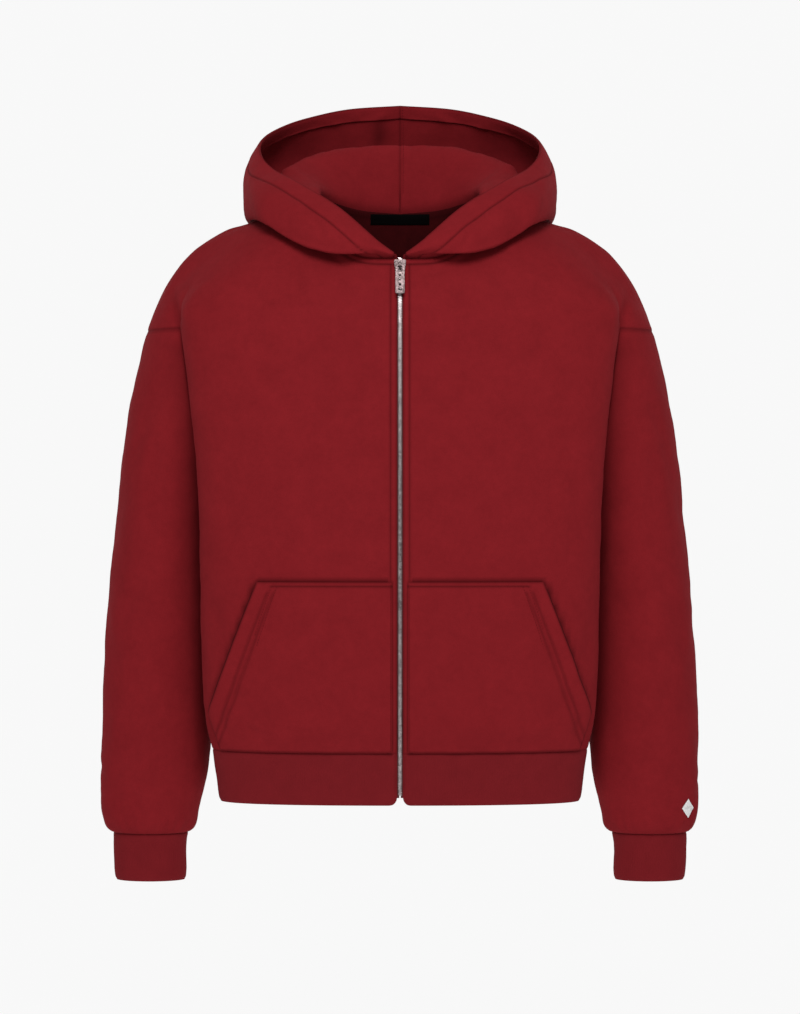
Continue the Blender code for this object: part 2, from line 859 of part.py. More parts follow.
def build_pull(place, steel):
    """The pull tab: a flat bar with a slot round the bail and a few holes. It turns on the slot's top bar."""
    pivot = place @ Vector((0, -PIVOT_OUT, 0))
    at = Matrix.Translation(pivot * MM) @ place.to_3x3().to_4x4()
    local = Matrix.Identity(4)
    outline = rounded(-PULL_WIDTH / 2, PULL_WIDTH / 2, -PULL_LENGTH, PULL_BAR, 1.6)
    pull = prism("zip_pull", outline, -PULL_THICK / 2, PULL_THICK / 2, local, steel)
    slot = rounded(-SLOT_HALF_WIDTH, SLOT_HALF_WIDTH, -SLOT_LENGTH, -PULL_BAR, 1.0)
    holes = [("pull_slot_tool", slot)]
    for number, (height, radius) in enumerate(PULL_HOLES):
        holes.append((f"pull_hole_{number}_tool", arc(0, height, radius, 0, 330, 11)))
    for name, hole in holes:
        tool = prism(name, hole, -PULL_THICK, PULL_THICK, local, steel)
        boolean(pull, tool, "DIFFERENCE")
    for thing in [pull] + [change.object for change in pull.modifiers]:
        thing.matrix_world = at
    return pull


def build():
    clear_scene()
    fleece = material("fleece_red", RED, 0.95)
    rib = material("rib_red", RED, 0.9)
    tape = material("zip_tape_red", RED, 0.8)
    steel = material("zip_metal", STEEL, 0.3, 1.0)
    black = material("label_black", BLACK, 0.6)
    white = material("motif_white", WHITE, 0.6)
    cloth = Cloth()
    front = body_faces(True, ZIP_HALF_GAP)
    back = body_faces(False, 0.0)
    cloth.add("front_left", front, "body")
    cloth.add("front_right", mirrored(front), "body")
    cloth.add("back", back + mirrored(back), "body")
    sleeve = sleeve_faces()
    cloth.add("sleeve_left", sleeve, "arm")
    cloth.add("sleeve_right", mirrored(sleeve), "arm")
    cuff = cuff_faces()
    cloth.add("cuff_left", cuff, "cuff")
    cloth.add("cuff_right", mirrored(cuff), "cuff")
    hem = quads_between(hem_rows(ZIP_HALF_GAP))
    cloth.add("hem_band", hem + mirrored(hem), "hem")
    hood = hood_faces()
    cloth.add("hood_left", hood, "hood")
    cloth.add("hood_right", mirrored(hood), "hood")
    underarm = armhole(UNDERARM)[0]
    for x in (underarm.x, -underarm.x):
        cloth.leans[Cloth.key(Vector((x, underarm.y, underarm.z)))] = Vector((0, 0, -1))
    for name in list(cloth.pieces):
        cloth.wall(name, rib if name.startswith(("cuff", "hem")) else fleece)

    pocket = [(POCKET_CENTRE, POCKET_EDGE[-1].up), *((p.out, p.up) for p in reversed(POCKET_EDGE))]
    pocket.append((POCKET_CENTRE, POCKET_EDGE[0].up))
    overlay(cloth, "front_left", pocket, "pocket_left", LAY_GAP + POCKET_CLOTH)
    mirror_piece(cloth, "pocket_left", "pocket_right")
    overlay(cloth, "sleeve_left", MOTIF, "sleeve_motif", LAY_GAP + MOTIF_RAISE)
    tape_faces = zip_tape(cloth)
    cloth.add("zip_tape_left", tape_faces, "tape")
    mirror_piece(cloth, "zip_tape_left", "zip_tape_right")
    cloth.add("zip_chain", zip_teeth(cloth), "teeth")
    for name in ("pocket_left", "pocket_right"):
        cloth.wall(name, fleece, POCKET_CLOTH, 0.0)
    for name in ("zip_tape_left", "zip_tape_right"):
        cloth.wall(name, tape, TAPE_CLOTH)
    cloth.wall("sleeve_motif", white, MOTIF_RAISE, 0.0)
    cloth.wall("zip_chain", steel, TEETH_THICK)
    overlay(cloth, "back", LABEL, "neck_label", -WALL - LAY_GAP, facing=1)
    cloth.wall("neck_label", black, LABEL_CLOTH, 0.0)
    place = slider_place(cloth)
    build_slider(place, steel)
    build_pull(place, steel)


build()
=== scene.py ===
import bpy
import numpy as np
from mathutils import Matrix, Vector, bvhtree, kdtree, noise


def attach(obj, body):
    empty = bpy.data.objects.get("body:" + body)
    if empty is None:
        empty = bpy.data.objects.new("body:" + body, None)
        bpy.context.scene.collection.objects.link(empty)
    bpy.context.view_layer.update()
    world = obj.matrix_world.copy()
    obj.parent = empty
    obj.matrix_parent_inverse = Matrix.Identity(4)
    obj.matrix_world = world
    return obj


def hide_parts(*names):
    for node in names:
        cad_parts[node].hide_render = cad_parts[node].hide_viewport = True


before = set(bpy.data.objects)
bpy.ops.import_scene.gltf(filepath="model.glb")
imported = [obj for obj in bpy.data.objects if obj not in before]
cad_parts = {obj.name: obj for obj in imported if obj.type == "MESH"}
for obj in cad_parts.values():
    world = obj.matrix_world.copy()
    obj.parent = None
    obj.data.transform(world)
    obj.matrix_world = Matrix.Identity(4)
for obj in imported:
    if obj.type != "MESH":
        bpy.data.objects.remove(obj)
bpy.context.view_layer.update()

# --- Body panels ----------------------------------------------------------------------------------
# Two fronts and a back, cut from brushed cotton fleece about 2.5 mm thick and sewn at the sides and shoulders.
# They stand filled out as on a wearer, and reach over the dropped shoulder down to the sleeve's seam.
# All sizes are in millimetres until a mesh is made.

MM = 0.001
WALL = 2.5
HEM_SEAM = -577.0
HEM_BOTTOM = -633.5
CAP_SEAM = -112.0
CUFF_SEAM = -676.0
ZIP_HALF_GAP = 3.2
NECK_HALF_WIDTH = 92.0
TORSO_WIDEST_Y = -45.0
FRONT_FULLNESS = 2.5
BACK_FULLNESS = 2.0
DENT_Y = 22.0
DENT_REACH = 52.0
DENT_FADE = 60.0
RIDGE_CORNER = 4.8

TORSO_COLUMNS = 66
NECK_COLUMNS = 50
CAP_COLUMNS = 54
LOW_ROWS = 78
ARMHOLE_ROWS = 40
DOME_ROWS = 44
ENDS_PULL = 0.72
FARTHEST = 60.0
WELD_SIZE = 0.02


class Table:
    """Rows of sizes with named columns, read on a smooth curve through the rows by their first column."""

    def __init__(self, columns, rows):
        self.columns = columns.split()
        self.values = np.array(rows, float)
        self.keys = self.values[:, 0]

    def at(self, column, key):
        keys, values = self.keys, self.values[:, self.columns.index(column)]
        key = np.clip(key, keys[0], keys[-1])
        last = len(keys) - 1
        low = np.clip(np.searchsorted(keys, key) - 1, 0, last - 1)
        before = np.maximum(np.arange(last + 1) - 1, 0)
        after = np.minimum(np.arange(last + 1) + 1, last)
        slope = (values[after] - values[before]) / (keys[after] - keys[before])
        step = keys[low + 1] - keys[low]
        rise = values[low + 1] - values[low]
        t = (key - keys[low]) / step
        a = slope[low] * step - rise
        b = rise - slope[low + 1] * step
        return values[low] + t * rise + t * (1 - t) * (a * (1 - t) + b * t)

    def points(self, columns, key):
        return np.stack([self.at(column, key) for column in columns.split()], axis=-1)


TORSO = Table("height half_width front back dent", [
    (-633.5, 199, -110, 127, 0),
    (-604, 203, -112, 128, 0),
    (-577, 207, -116, 130, 0),
    (-545, 214, -126, 140, 0),
    (-504, 218, -131, 146, 2),
    (-436, 220, -133, 148, 6),
    (-369, 222.5, -132, 148, 12),
    (-320, 224, -131, 148, 17),
    (-275, 226, -130, 149, 17),
    (-235, 229, -128, 150, 12),
    (-190, 233, -126, 150, 6),
    (-145, 238, -123, 148, 2),
    (-112, 243, -120, 145, 0),
    (-90, 247, -117, 141, 0),
])
ARM = Table("height outer half_width centre_y half_depth", [
    (-676, 322.5, 42, 16, 30),
    (-672, 328, 47.5, 16, 35),
    (-664, 332.5, 51.7, 16, 40),
    (-650, 335.5, 54.7, 16, 43),
    (-629, 336.5, 57.8, 17, 46),
    (-605, 336.5, 60, 19, 49),
    (-573, 336.5, 61.5, 21, 53),
    (-505, 334.5, 61.5, 27, 60),
    (-436, 331.5, 61, 33, 66),
    (-369, 326, 59, 37, 72),
    (-320, 321, 58, 39, 75),
    (-275, 317, 59, 39, 78),
    (-235, 312, 62, 38, 79),
    (-190, 304.5, 64, 36, 79),
    (-150, 295.5, 63, 33, 78),
    (-112, 285.5, 61, 30, 74),
    (-90, 278, 59, 28, 70),
])
RIDGE = Table("place out back up", [
    (0, 92, -2, 34),
    (1, 130, 5, 22),
    (2, 171, 13, 9),
    (3, 196, 18, 2),
    (4, 227, 22, -17),
    (5, 249, 25, -38),
    (6, 266, 27, -63),
    (7, 277.5, 29, -88),
    (8, 285.5, 30, -112),
])
NECK = Table("turn out back up", [
    (0, 0, -108, -41),
    (30, 46, -95, -36),
    (60, 80, -60, -8),
    (90, 92, -2, 34),
    (120, 80, 50, 38),
    (150, 46, 82, 32),
    (180, 0, 94, 29),
])


def bell(distance, width):
    """1 where there is no distance, falling smoothly away over a width."""
    return np.exp(-((distance / width) ** 2))


def ease(values):
    values = np.clip(values, 0, 1)
    return values * values * (3 - 2 * values)


def torso_depth(height, front):
    """How far the body's section reaches from its widest line to the centre front or centre back."""
    return np.where(front, TORSO.at("front", height), TORSO.at("back", height)) - TORSO_WIDEST_Y


def torso_dent(height, y):
    """How far the body's side is pressed in, where the arm hangs against it."""
    return TORSO.at("dent", height) * bell(y - DENT_Y, DENT_REACH)


def torso(height, turn):
    """Points of the body's section at a height. Turn 0 is the centre front and pi the centre back."""
    height, turn = np.broadcast_arrays(height, turn)
    front = turn < np.pi / 2
    power = 2 / np.where(front, FRONT_FULLNESS, BACK_FULLNESS)
    x = TORSO.at("half_width", height) * np.abs(np.sin(turn)) ** power
    y = TORSO_WIDEST_Y + torso_depth(height, front) * np.abs(np.cos(turn)) ** power
    return np.stack([x - torso_dent(height, y) * np.minimum(1, x / DENT_FADE), y, height], axis=-1)


def torso_side(height, y):
    """How far out the body reaches at a height and a depth, or below zero where it doesn't reach that deep."""
    front = y < TORSO_WIDEST_Y
    fullness = np.where(front, FRONT_FULLNESS, BACK_FULLNESS)
    share = np.abs((y - TORSO_WIDEST_Y) / torso_depth(height, front))
    reach = TORSO.at("half_width", height) * np.maximum(1 - share**fullness, 0) ** (1 / fullness)
    return np.where(share < 1, reach - torso_dent(height, y), -1)


def arm(height, turn):
    """Points of the arm's section. Turn 0 is outermost, and a positive turn goes by the front."""
    height, turn = np.broadcast_arrays(height, turn)
    width = ARM.at("half_width", height)
    x = ARM.at("outer", height) - width + width * np.cos(turn)
    y = ARM.at("centre_y", height) - ARM.at("half_depth", height) * np.sin(turn)
    return np.stack([x, y, height * 1.0], axis=-1)


def arm_meets_body(height, side):
    """The turn at which the arm's section enters the body's, by the front (1) or back (-1), or None."""
    turns = np.linspace(0, 1.3 * np.pi, 900)
    ring = arm(height, side * turns)
    inside = torso_side(height, ring[:, 1]) - ring[:, 0]
    entered = np.nonzero(inside > 0)[0]
    if len(entered) == 0:
        return None
    k = entered[0]
    share = -inside[k - 1] / (inside[k] - inside[k - 1])
    return side * (turns[k - 1] + share * (turns[k] - turns[k - 1]))


def find_underarm():
    """The height at which the arm first stands clear of the body."""
    low, high = -340.0, CAP_SEAM
    for _ in range(40):
        middle = (low + high) / 2
        if arm_meets_body(middle, 1) is None:
            low = middle
        else:
            high = middle
    return high


UNDERARM = find_underarm()
UNDERARM_TURN = arm_meets_body(UNDERARM, 1)
UNDERARM_POINT = arm(UNDERARM, UNDERARM_TURN)


def closer(count):
    """Steps from 0 to 1, drawn closer together at both ends, where the seams are."""
    t = np.linspace(0, 1, count + 1)
    return t - ENDS_PULL * np.sin(2 * np.pi * t) / (2 * np.pi)


def lengths_along(line):
    """How far along a line of points each one lies."""
    return np.concatenate([[0], np.cumsum(np.linalg.norm(np.diff(line, axis=0), axis=1))])


def on_line(line, keys, wanted):
    """The points of a line where the keys given for its points have the wanted values."""
    return np.stack([np.interp(wanted, keys, line[:, k]) for k in range(3)], axis=-1)


def spread(line, shares):
    """Points at the given shares of the length of a line of points."""
    lengths = lengths_along(line)
    return on_line(line, lengths, lengths[-1] * shares)


def armhole(height, side):
    if height <= UNDERARM + 0.01:
        return UNDERARM_POINT
    return arm(height, arm_meets_body(height, side))


def torso_line(height, front, first_x, end):
    """The section from a panel's centre edge round to an end point on it."""
    turns = np.linspace(0, np.pi, 420)
    line = torso(height, turns if front else turns[::-1])
    line = line[line[:, 0] > first_x]
    beyond = np.nonzero((line[1:, 1] > end[1]) == front)[0]
    if len(beyond):
        line = line[: beyond[0] + 1]
    return np.concatenate([[[first_x, line[0, 1], height]], line, [end]])


def neck_turn(front, share, first_x):
    first = np.degrees(np.arcsin(first_x / NECK_HALF_WIDTH))
    turn = first + (90 - first) * share
    return turn if front else 180 - turn


def neck_share(column):
    """The columns round the neck are closest together at the zip and at the nape."""
    t = np.clip(column / NECK_COLUMNS, 0, 1)
    return 0.3 * t + 0.7 * t**1.8


def unit(vectors):
    return vectors / np.maximum(np.linalg.norm(vectors, axis=-1, keepdims=True), 1e-12)


SOFTEN_STEP = 2.0
SOFTEN_STEPS = 50
SOFTEN_REACH = 75.0


def soften(grid, column, rows_share):
    """Rounds off the crease that runs up a net along one column, fully so above its lowest rows."""
    weights = ease(rows_share / 0.35) * ease((1 - rows_share) / 0.1)
    kernel = bell(np.arange(-SOFTEN_STEPS, SOFTEN_STEPS + 1), 24)
    kernel /= kernel.sum()
    softened = grid.copy()
    for line, weight, target in zip(grid, weights, softened):
        lengths = lengths_along(line)
        even = np.arange(0, lengths[-1] + SOFTEN_STEP, SOFTEN_STEP)
        near = weight * np.exp(-(((lengths - lengths[column]) / SOFTEN_REACH) ** 4))
        for k in range(3):
            padded = np.pad(np.interp(even, lengths, line[:, k]), SOFTEN_STEPS, mode="edge")
            rounded = np.interp(lengths, even, np.convolve(padded, kernel, mode="valid"))
            target[:, k] += (rounded - line[:, k]) * near
    return softened


def shoulder(front, first_x):
    """A panel above the sleeve cap's seam, with columns that rise to the neck and shoulder seams."""
    way = 1 if front else -1
    last = TORSO_COLUMNS + CAP_COLUMNS
    starts = []
    for height in (CAP_SEAM, CAP_SEAM - 12):
        end = armhole(height, way)
        row = spread(torso_line(height, front, first_x, end), closer(TORSO_COLUMNS))
        half = closer(2 * CAP_COLUMNS)[: CAP_COLUMNS + 1] * 2
        outer = spread(arm(height, np.linspace(arm_meets_body(height, way), 0, 200)), half)
        starts.append(np.concatenate([row, outer[1:]]))
    base, lean = starts[0], unit(starts[0] - starts[1])
    k = np.arange(last + 1)
    share = neck_share(k)[:, None]
    up = np.concatenate([-0.1 * share, 0.25 * way + 0 * share, 1 + 0 * share], axis=1)
    arrive = up + (np.array([-0.35, way, 0.35]) - up) * share**1.5
    arrive[k > NECK_COLUMNS] = (-0.25, way, 0.25)
    place = RIDGE_CORNER * np.clip((k - NECK_COLUMNS) / (last - NECK_COLUMNS), 0, 1)
    top = np.where(
        (k <= NECK_COLUMNS)[:, None],
        NECK.points("out back up", neck_turn(front, share[:, 0], first_x)),
        RIDGE.points("out back up", place),
    )
    reach = np.linalg.norm(top - base, axis=1, keepdims=True)
    t = closer(DOME_ROWS)[:, None, None]
    grid = base * (1 + 2 * t) * (1 - t) ** 2 + lean * reach * t * (1 - t) ** 2
    grid = grid + top * t * t * (3 - 2 * t) - unit(arrive) * reach * t * t * (1 - t)
    outermost = RIDGE.points("out back up", 8 - (8 - RIDGE_CORNER) * closer(DOME_ROWS))
    near = ease(1 - (last - k) / (CAP_COLUMNS / 5))[None, :, None]
    grid = soften(grid, TORSO_COLUMNS, closer(DOME_ROWS))
    return grid + (outermost - grid[:, -1])[:, None, :] * near


def armhole_heights():
    """The rows beside the armhole, the same on the body and the sleeve, so that their seam fits."""
    return list(UNDERARM + (CAP_SEAM - UNDERARM) * (np.arange(1, ARMHOLE_ROWS + 1) / ARMHOLE_ROWS) ** 1.4)


def panel(front, first_x):
    """The net of half a front or back: rows up to the sleeve cap's seam, and the part over the shoulder."""
    way = 1 if front else -1
    t = np.linspace(0, 1, LOW_ROWS + 1)
    heights = list(HEM_SEAM + (UNDERARM - HEM_SEAM) * (0.3 * t + 0.7 * t**1.7)) + armhole_heights()
    rows = []
    for height in heights:
        if height < UNDERARM - 0.01:
            y = UNDERARM_POINT[1]
            end = np.array([float(torso_side(height, y)), y, height])
        else:
            end = armhole(height, way)
        rows.append(spread(torso_line(height, front, first_x, end), closer(TORSO_COLUMNS)))
    nets = [np.array(rows), shoulder(front, first_x)]
    return nets if front else [net[:, ::-1] for net in nets]


def nearest_of(points):
    """A tree that finds the nearest of some points."""
    tree = kdtree.KDTree(len(points))
    for k, point in enumerate(points):
        tree.insert(point, k)
    tree.balance()
    return tree


class Piece:
    """A cut piece as one welded net: points, faces, places on the flat cloth, edges and outward directions."""

    def __init__(self, nets):
        points, flats, quads = [], [], []
        count = 0
        reached = 0.0
        for net in nets:
            rows, columns = net.shape[:2]
            along = np.linalg.norm(np.diff(net, axis=1), axis=2).cumsum(axis=1)
            up = np.linalg.norm(np.diff(net, axis=0), axis=2).cumsum(axis=0)
            across = np.concatenate([np.zeros((rows, 1)), along], axis=1)
            up = reached + np.concatenate([np.zeros((1, columns)), up], axis=0)
            index = count + np.arange(rows * columns).reshape(rows, columns)
            corners = (index[:-1, :-1], index[:-1, 1:], index[1:, 1:], index[1:, :-1])
            quads.append(np.stack(corners, axis=-1).reshape(-1, 4))
            points.append(net.reshape(-1, 3))
            flats.append(np.stack([across, up], axis=-1).reshape(-1, 2))
            count += rows * columns
            reached = float(up[-1].mean())
        points, flats, quads = (np.concatenate(parts) for parts in (points, flats, quads))
        first, number = weld(points)
        self.points = points[first]
        self.corner_flats = flats[quads]
        self.quads = number[quads]
        pairs = np.concatenate([self.quads[:, [k, (k + 1) % 4]] for k in range(4)])
        keys = np.sort(pairs, axis=1)
        _, place, times = np.unique(keys, axis=0, return_index=True, return_counts=True)
        self.edges = pairs[place[times == 1]]
        self.edges = self.edges[self.edges[:, 0] != self.edges[:, 1]]
        self.from_edge = self.distance(self.edges)

    def distance(self, edges):
        """How far each point lies from some edges, up to a limit."""
        a, b = self.points[edges[:, 0]], self.points[edges[:, 1]]
        steps = np.linspace(0, 1, 7)[:, None, None]
        tree = nearest_of((a * (1 - steps) + b * steps).reshape(-1, 3))
        return np.array([min(tree.find(point)[2], FARTHEST) for point in self.points])


def weld(points):
    """The first of each set of points that coincide, and each point's number among them."""
    keys = np.round((points + 0.00317) / WELD_SIZE).astype(np.int64)
    _, first, number = np.unique(keys, axis=0, return_index=True, return_inverse=True)
    return first, number.reshape(-1)


def face_out(pieces):
    """Gives each point its direction out of the cloth, the same on both sides of a seam between pieces."""
    points = np.concatenate([piece.points for piece in pieces])
    starts = np.cumsum([0] + [len(piece.points) for piece in pieces])
    first, number = weld(points)
    total = np.zeros((len(first), 3))
    for piece, start in zip(pieces, starts):
        p = [piece.points[piece.quads[:, k]] for k in range(4)]
        area = np.cross(p[2] - p[0], p[3] - p[1])
        for k in range(4):
            np.add.at(total, number[start + piece.quads[:, k]], area)
    for piece, start in zip(pieces, starts):
        piece.out = unit(total[number[start : start + len(piece.points)]])


def mirrored(nets):
    return [net[:, ::-1] * (-1, 1, 1) for net in nets]


def folds(places, rows):
    """Soft troughs and ridges. Each row is a middle in two sizes, length, width, turn, bow and depth."""
    total = np.zeros(len(places))
    for middle, height, length, width, turn, bow, depth in rows:
        c, s = np.cos(np.radians(turn)), np.sin(np.radians(turn))
        x, z = places[:, 0] - middle, places[:, 1] - height
        across, along = c * x + s * z, (c * z - s * x) / length
        across = across - bow * along * along
        side = across / (width * (1 - 0.35 * np.clip(along, -1, 1)))
        banks = 1 - 0.55 * side**2 * (side**2 < 4)
        total += depth * np.exp(-(side**2)) * banks * np.exp(-((along * 1.6) ** 4))
    return total


def uneven(points, size, depth, seed):
    """The slight unevenness of soft cloth, at one size."""
    shift = Vector((seed * 7.3, seed * 3.1, -seed * 5.7))
    return np.array([depth * noise.fractal(Vector(p) / size + shift, 1.0, 2.0, 3) for p in points])


SEAM_FADE = 14.0
SEAM_SHADE = 0.42
SEAM_SHADE_WIDTH = 1.4


def shell(
    name, piece, finish, moved=0.0, wall=WALL, lean=None, dip=0.9, roll=1.8,
    shaded_inside_finish=None, shade=0.0, shade_in=0.0,
):
    """Makes a piece's wall: an outer face moved out, edges rolled in, an inner face a wall's thickness in.

    The shade darkens the cloth's colour where little light gets in: in every seam, and elsewhere as given.
    """
    out = piece.out.copy()
    edge = np.unique(piece.edges)
    if lean is not None:
        given = lean(piece.points[edge])
        known = ~np.isnan(given[:, 0])
        out[edge[known]] = given[known]
    rolled = dip * bell(piece.from_edge, roll)
    outer = piece.points + out * (moved * ease(piece.from_edge / SEAM_FADE) - rolled)[:, None]
    thick = np.broadcast_to(wall, rolled.shape) - 1.8 * rolled
    inner = outer - out * thick[:, None]
    count = len(outer)
    first, second = piece.edges.T
    sides = np.stack([second, first, first + count, second + count], axis=1)
    faces = np.concatenate([piece.quads, piece.quads[:, ::-1] + count, sides])
    flats = np.concatenate([piece.corner_flats, piece.corner_flats[:, ::-1], np.zeros((len(sides), 4, 2))])
    thing = mesh_object(name, np.concatenate([outer, inner]), faces, finish, flats)
    outside = np.clip(shade + SEAM_SHADE * bell(piece.from_edge, SEAM_SHADE_WIDTH), 0, 1)
    within = np.clip(outside * 0.8 + shade_in, 0, 1)
    layer = thing.data.attributes.new("shaded", "FLOAT", "POINT")
    layer.data.foreach_set("value", np.concatenate([outside, within]).astype(np.float32))
    # The inside faces can take a second, darker finish: painted shade inside the garment.
    if shaded_inside_finish is not None:
        thing.data.materials.append(shaded_inside_finish)
        sides_in = np.zeros(len(faces), np.int32)
        sides_in[len(piece.quads) : 2 * len(piece.quads)] = 1
        thing.data.polygons.foreach_set("material_index", sides_in)
    return thing


SHARP_ANGLE = 52


def linked(name, data):
    """A new object in the scene."""
    thing = bpy.data.objects.new(name, data)
    bpy.context.scene.collection.objects.link(thing)
    return thing


def mesh_object(name, points, faces, finish, flats=None):
    mesh = bpy.data.meshes.new(name)
    mesh.from_pydata((np.asarray(points) * MM).tolist(), [], [list(face) for face in faces])
    mesh.shade_smooth()
    mesh.set_sharp_from_angle(angle=np.radians(SHARP_ANGLE))
    if flats is not None:
        layer = mesh.uv_layers.new(name="flat")
        layer.data.foreach_set("uv", (flats.reshape(-1) * MM).astype(np.float32))
    mesh.materials.append(finish)
    return linked(name, mesh)


class Value:
    """A shader value that can be used in plain arithmetic."""

    def __init__(self, finish, socket):
        self.finish = finish
        self.socket = socket

    def maths(self, operation, a, b):
        return self.finish.node("ShaderNodeMath", {"operation": operation}, {0: a, 1: b})

    def __add__(self, other):
        return self.maths("ADD", self, other)

    def __mul__(self, other):
        return self.maths("MULTIPLY", self, other)

    __radd__ = __add__
    __rmul__ = __mul__


class Finish:
    """A material for one kind of cloth, thread or metal."""

    def __init__(self, name, **constants):
        self.material = bpy.data.materials.new(name)
        self.material.use_nodes = True
        self.tree = self.material.node_tree
        self.surface = self.tree.nodes["Principled BSDF"]
        for socket, value in constants.items():
            self.surface.inputs[socket.replace("_", " ")].default_value = value

    def node(self, kind, settings, values, output=0):
        """Any node, by its kind, its settings, the values or links of its sockets and the output wanted."""
        made = self.tree.nodes.new(kind)
        for setting, value in settings.items():
            setattr(made, setting, value)
        for socket, value in values.items():
            if isinstance(value, Value):
                self.tree.links.new(value.socket, made.inputs[socket])
            else:
                made.inputs[socket].default_value = value
        return Value(self, made.outputs[output])

    def place(self):
        return self.node("ShaderNodeTexCoord", {}, {}, "Object")

    def clouds(self, scale, detail=3.0, stretch=(1, 1, 1)):
        """Soft noise from 0 to 1, with features of about one over scale metres."""
        where = self.node("ShaderNodeMapping", {}, {"Vector": self.place(), "Scale": stretch})
        return self.node("ShaderNodeTexNoise", {}, {"Vector": where, "Scale": scale, "Detail": detail})

    def between(self, share, first, second):
        """A colour that goes from the first to the second as the share goes from 0 to 1."""
        first, second = (each if isinstance(each, Value) else (*each, 1) for each in (first, second))
        return self.node("ShaderNodeMix", {"data_type": "RGBA"}, {0: share, 6: first, 7: second}, 2)

    def attribute(self, name):
        return self.node("ShaderNodeAttribute", {"attribute_name": name}, {}, "Fac")

    def colour(self, value):
        self.tree.links.new(value.socket, self.surface.inputs["Base Color"])

    def bump(self, height, distance, strength=1.0):
        values = {"Height": height, "Distance": distance, "Strength": strength}
        bumped = self.node("ShaderNodeBump", {}, values, "Normal")
        self.tree.links.new(bumped.socket, self.surface.inputs["Normal"])


FLEECE_SHADED = (0.022, 0.0012, 0.0018)
FLEECE_DEEP = (0.166, 0.0086, 0.0118)
FLEECE_RED = (0.226, 0.0122, 0.0164)


NAP_HEIGHT = 0.00022


def brushed(name, deep=FLEECE_DEEP, red=FLEECE_RED):
    """Brushed cotton: cloudy where the nap lies differently, finely fuzzy, and darker where it is shaded."""
    made = Finish(name, Roughness=0.95, Sheen_Weight=0.08, Sheen_Roughness=0.5, Specular_IOR_Level=0.06)
    made.surface.inputs["Sheen Tint"].default_value = (0.60, 0.06, 0.08, 1)
    patchy = made.clouds(38, 4) * 0.40 + made.clouds(140, 3) * 0.30 + made.clouds(900, 2) * 0.45
    lit = made.between(made.node("ShaderNodeMapRange", {}, {0: patchy, 1: 0.32, 2: 0.82}), deep, red)
    made.colour(made.between(made.attribute("shaded"), lit, FLEECE_SHADED))
    fuzz = made.clouds(1500, 3, (1, 1, 0.55)) * 0.7 + made.clouds(420, 3) * 0.6
    made.bump(fuzz, NAP_HEIGHT, 0.55)
    return made.material


FLEECE = brushed("fleece_red")
# A darker copy of the fleece for the inside faces of the body panels: painted shade inside the garment.
FLEECE_INSIDE_SHADED = brushed("fleece_inside_painted_shade", (0.030, 0.0020, 0.0028), (0.062, 0.0036, 0.0048))
half_front = panel(True, ZIP_HALF_GAP)
half_back = panel(False, 0.0)
front_left, front_right = Piece(half_front), Piece(mirrored(half_front))
back = Piece(half_back + mirrored(half_back))
face_out([front_left, front_right, back])


def seam_lean(points):
    """The direction out of the cloth at the armhole and neck seams, where two pieces meet at an angle."""
    lean = np.full(points.shape, np.nan)
    x, y, z = np.abs(points[:, 0]), points[:, 1], points[:, 2]
    at_neck = (x < NECK_HALF_WIDTH + 0.5) & (z > -41.5) & (np.abs(y + 7) < 103)
    ring = unit(np.stack([points[:, 0], (y - 20) * 0.9, 70 + 0 * x], axis=-1))
    lean[at_neck] = ring[at_neck]
    way = np.sign(y - UNDERARM_POINT[1])
    rise = np.clip((z - UNDERARM) / 60, 0, 1)
    fork = unit(np.stack([0 * x, way * rise, rise - 1], axis=-1))
    at_armhole = (x > 190) & (z >= UNDERARM - 0.5) & (z < CAP_SEAM - 0.5)
    lean[at_armhole] = fork[at_armhole]
    return lean


# Troughs and ridges on the fronts, by x and height of the middle, then length, width, turn, bow and depth.
FRONT_FOLDS = [
    (-249, -92, 42, 7, 14, 0, -3.2),
    (249, -94, 42, 7, -14, 0, -3.0),
    (-106, -66, 34, 9, 6, 3, -1.5),
    (-92, -64, 30, 8, -8, 0, 0.9),
    (118, -80, 44, 12, 20, 6, -1.1),
    (-150, -150, 70, 16, 24, -8, -1.4),
    (-168, -182, 55, 14, 40, 5, -1.3),
    (148, -140, 62, 15, -28, 6, -1.3),
    (176, -196, 60, 13, -44, -6, -1.2),
    (-60, -210, 60, 20, 66, 6, -0.9),
    (70, -245, 66, 22, -70, 8, -0.8),
    (-186, -300, 80, 12, 8, 5, -1.6),
    (189, -325, 90, 12, -6, -6, -1.5),
    (-196, -440, 70, 10, 14, -4, -1.3),
    (200, -470, 60, 10, -12, 4, -1.2),
    (-30, -330, 90, 18, 12, 8, -0.7),
    (34, -300, 110, 16, -8, -6, -0.8),
    (-110, -350, 70, 20, 58, 5, -0.8),
    (104, -345, 60, 18, -64, -5, -0.7),
    (-38, -60, 22, 5, 62, 5, -1.1),
    (40, -58, 24, 5, -60, -5, -1.2),
    (-70, -40, 26, 6, 48, 4, -1.0),
    (72, -38, 26, 6, -50, -4, -0.9),
    (-190, -548, 22, 6, 20, 0, -1.4),
    (192, -548, 20, 6, -22, 0, -1.3),
]
BACK_FOLDS = [
    (0, -150, 120, 26, 90, 10, -1.4),
    (-90, -190, 90, 18, 62, -8, -1.6),
    (96, -205, 84, 18, -58, 8, -1.5),
    (-150, -260, 90, 14, 20, 6, -1.6),
    (154, -280, 90, 14, -18, -6, -1.5),
    (-60, -330, 120, 22, 8, 10, -1.2),
    (52, -360, 110, 20, -10, -8, -1.1),
    (-120, -450, 80, 15, -12, 5, -1.4),
    (110, -470, 90, 16, 14, -5, -1.4),
    (8, -500, 80, 16, 3, 4, -1.3),
    (-175, -520, 50, 10, 6, 2, -1.3),
    (170, -535, 45, 10, -6, -2, -1.2),
]


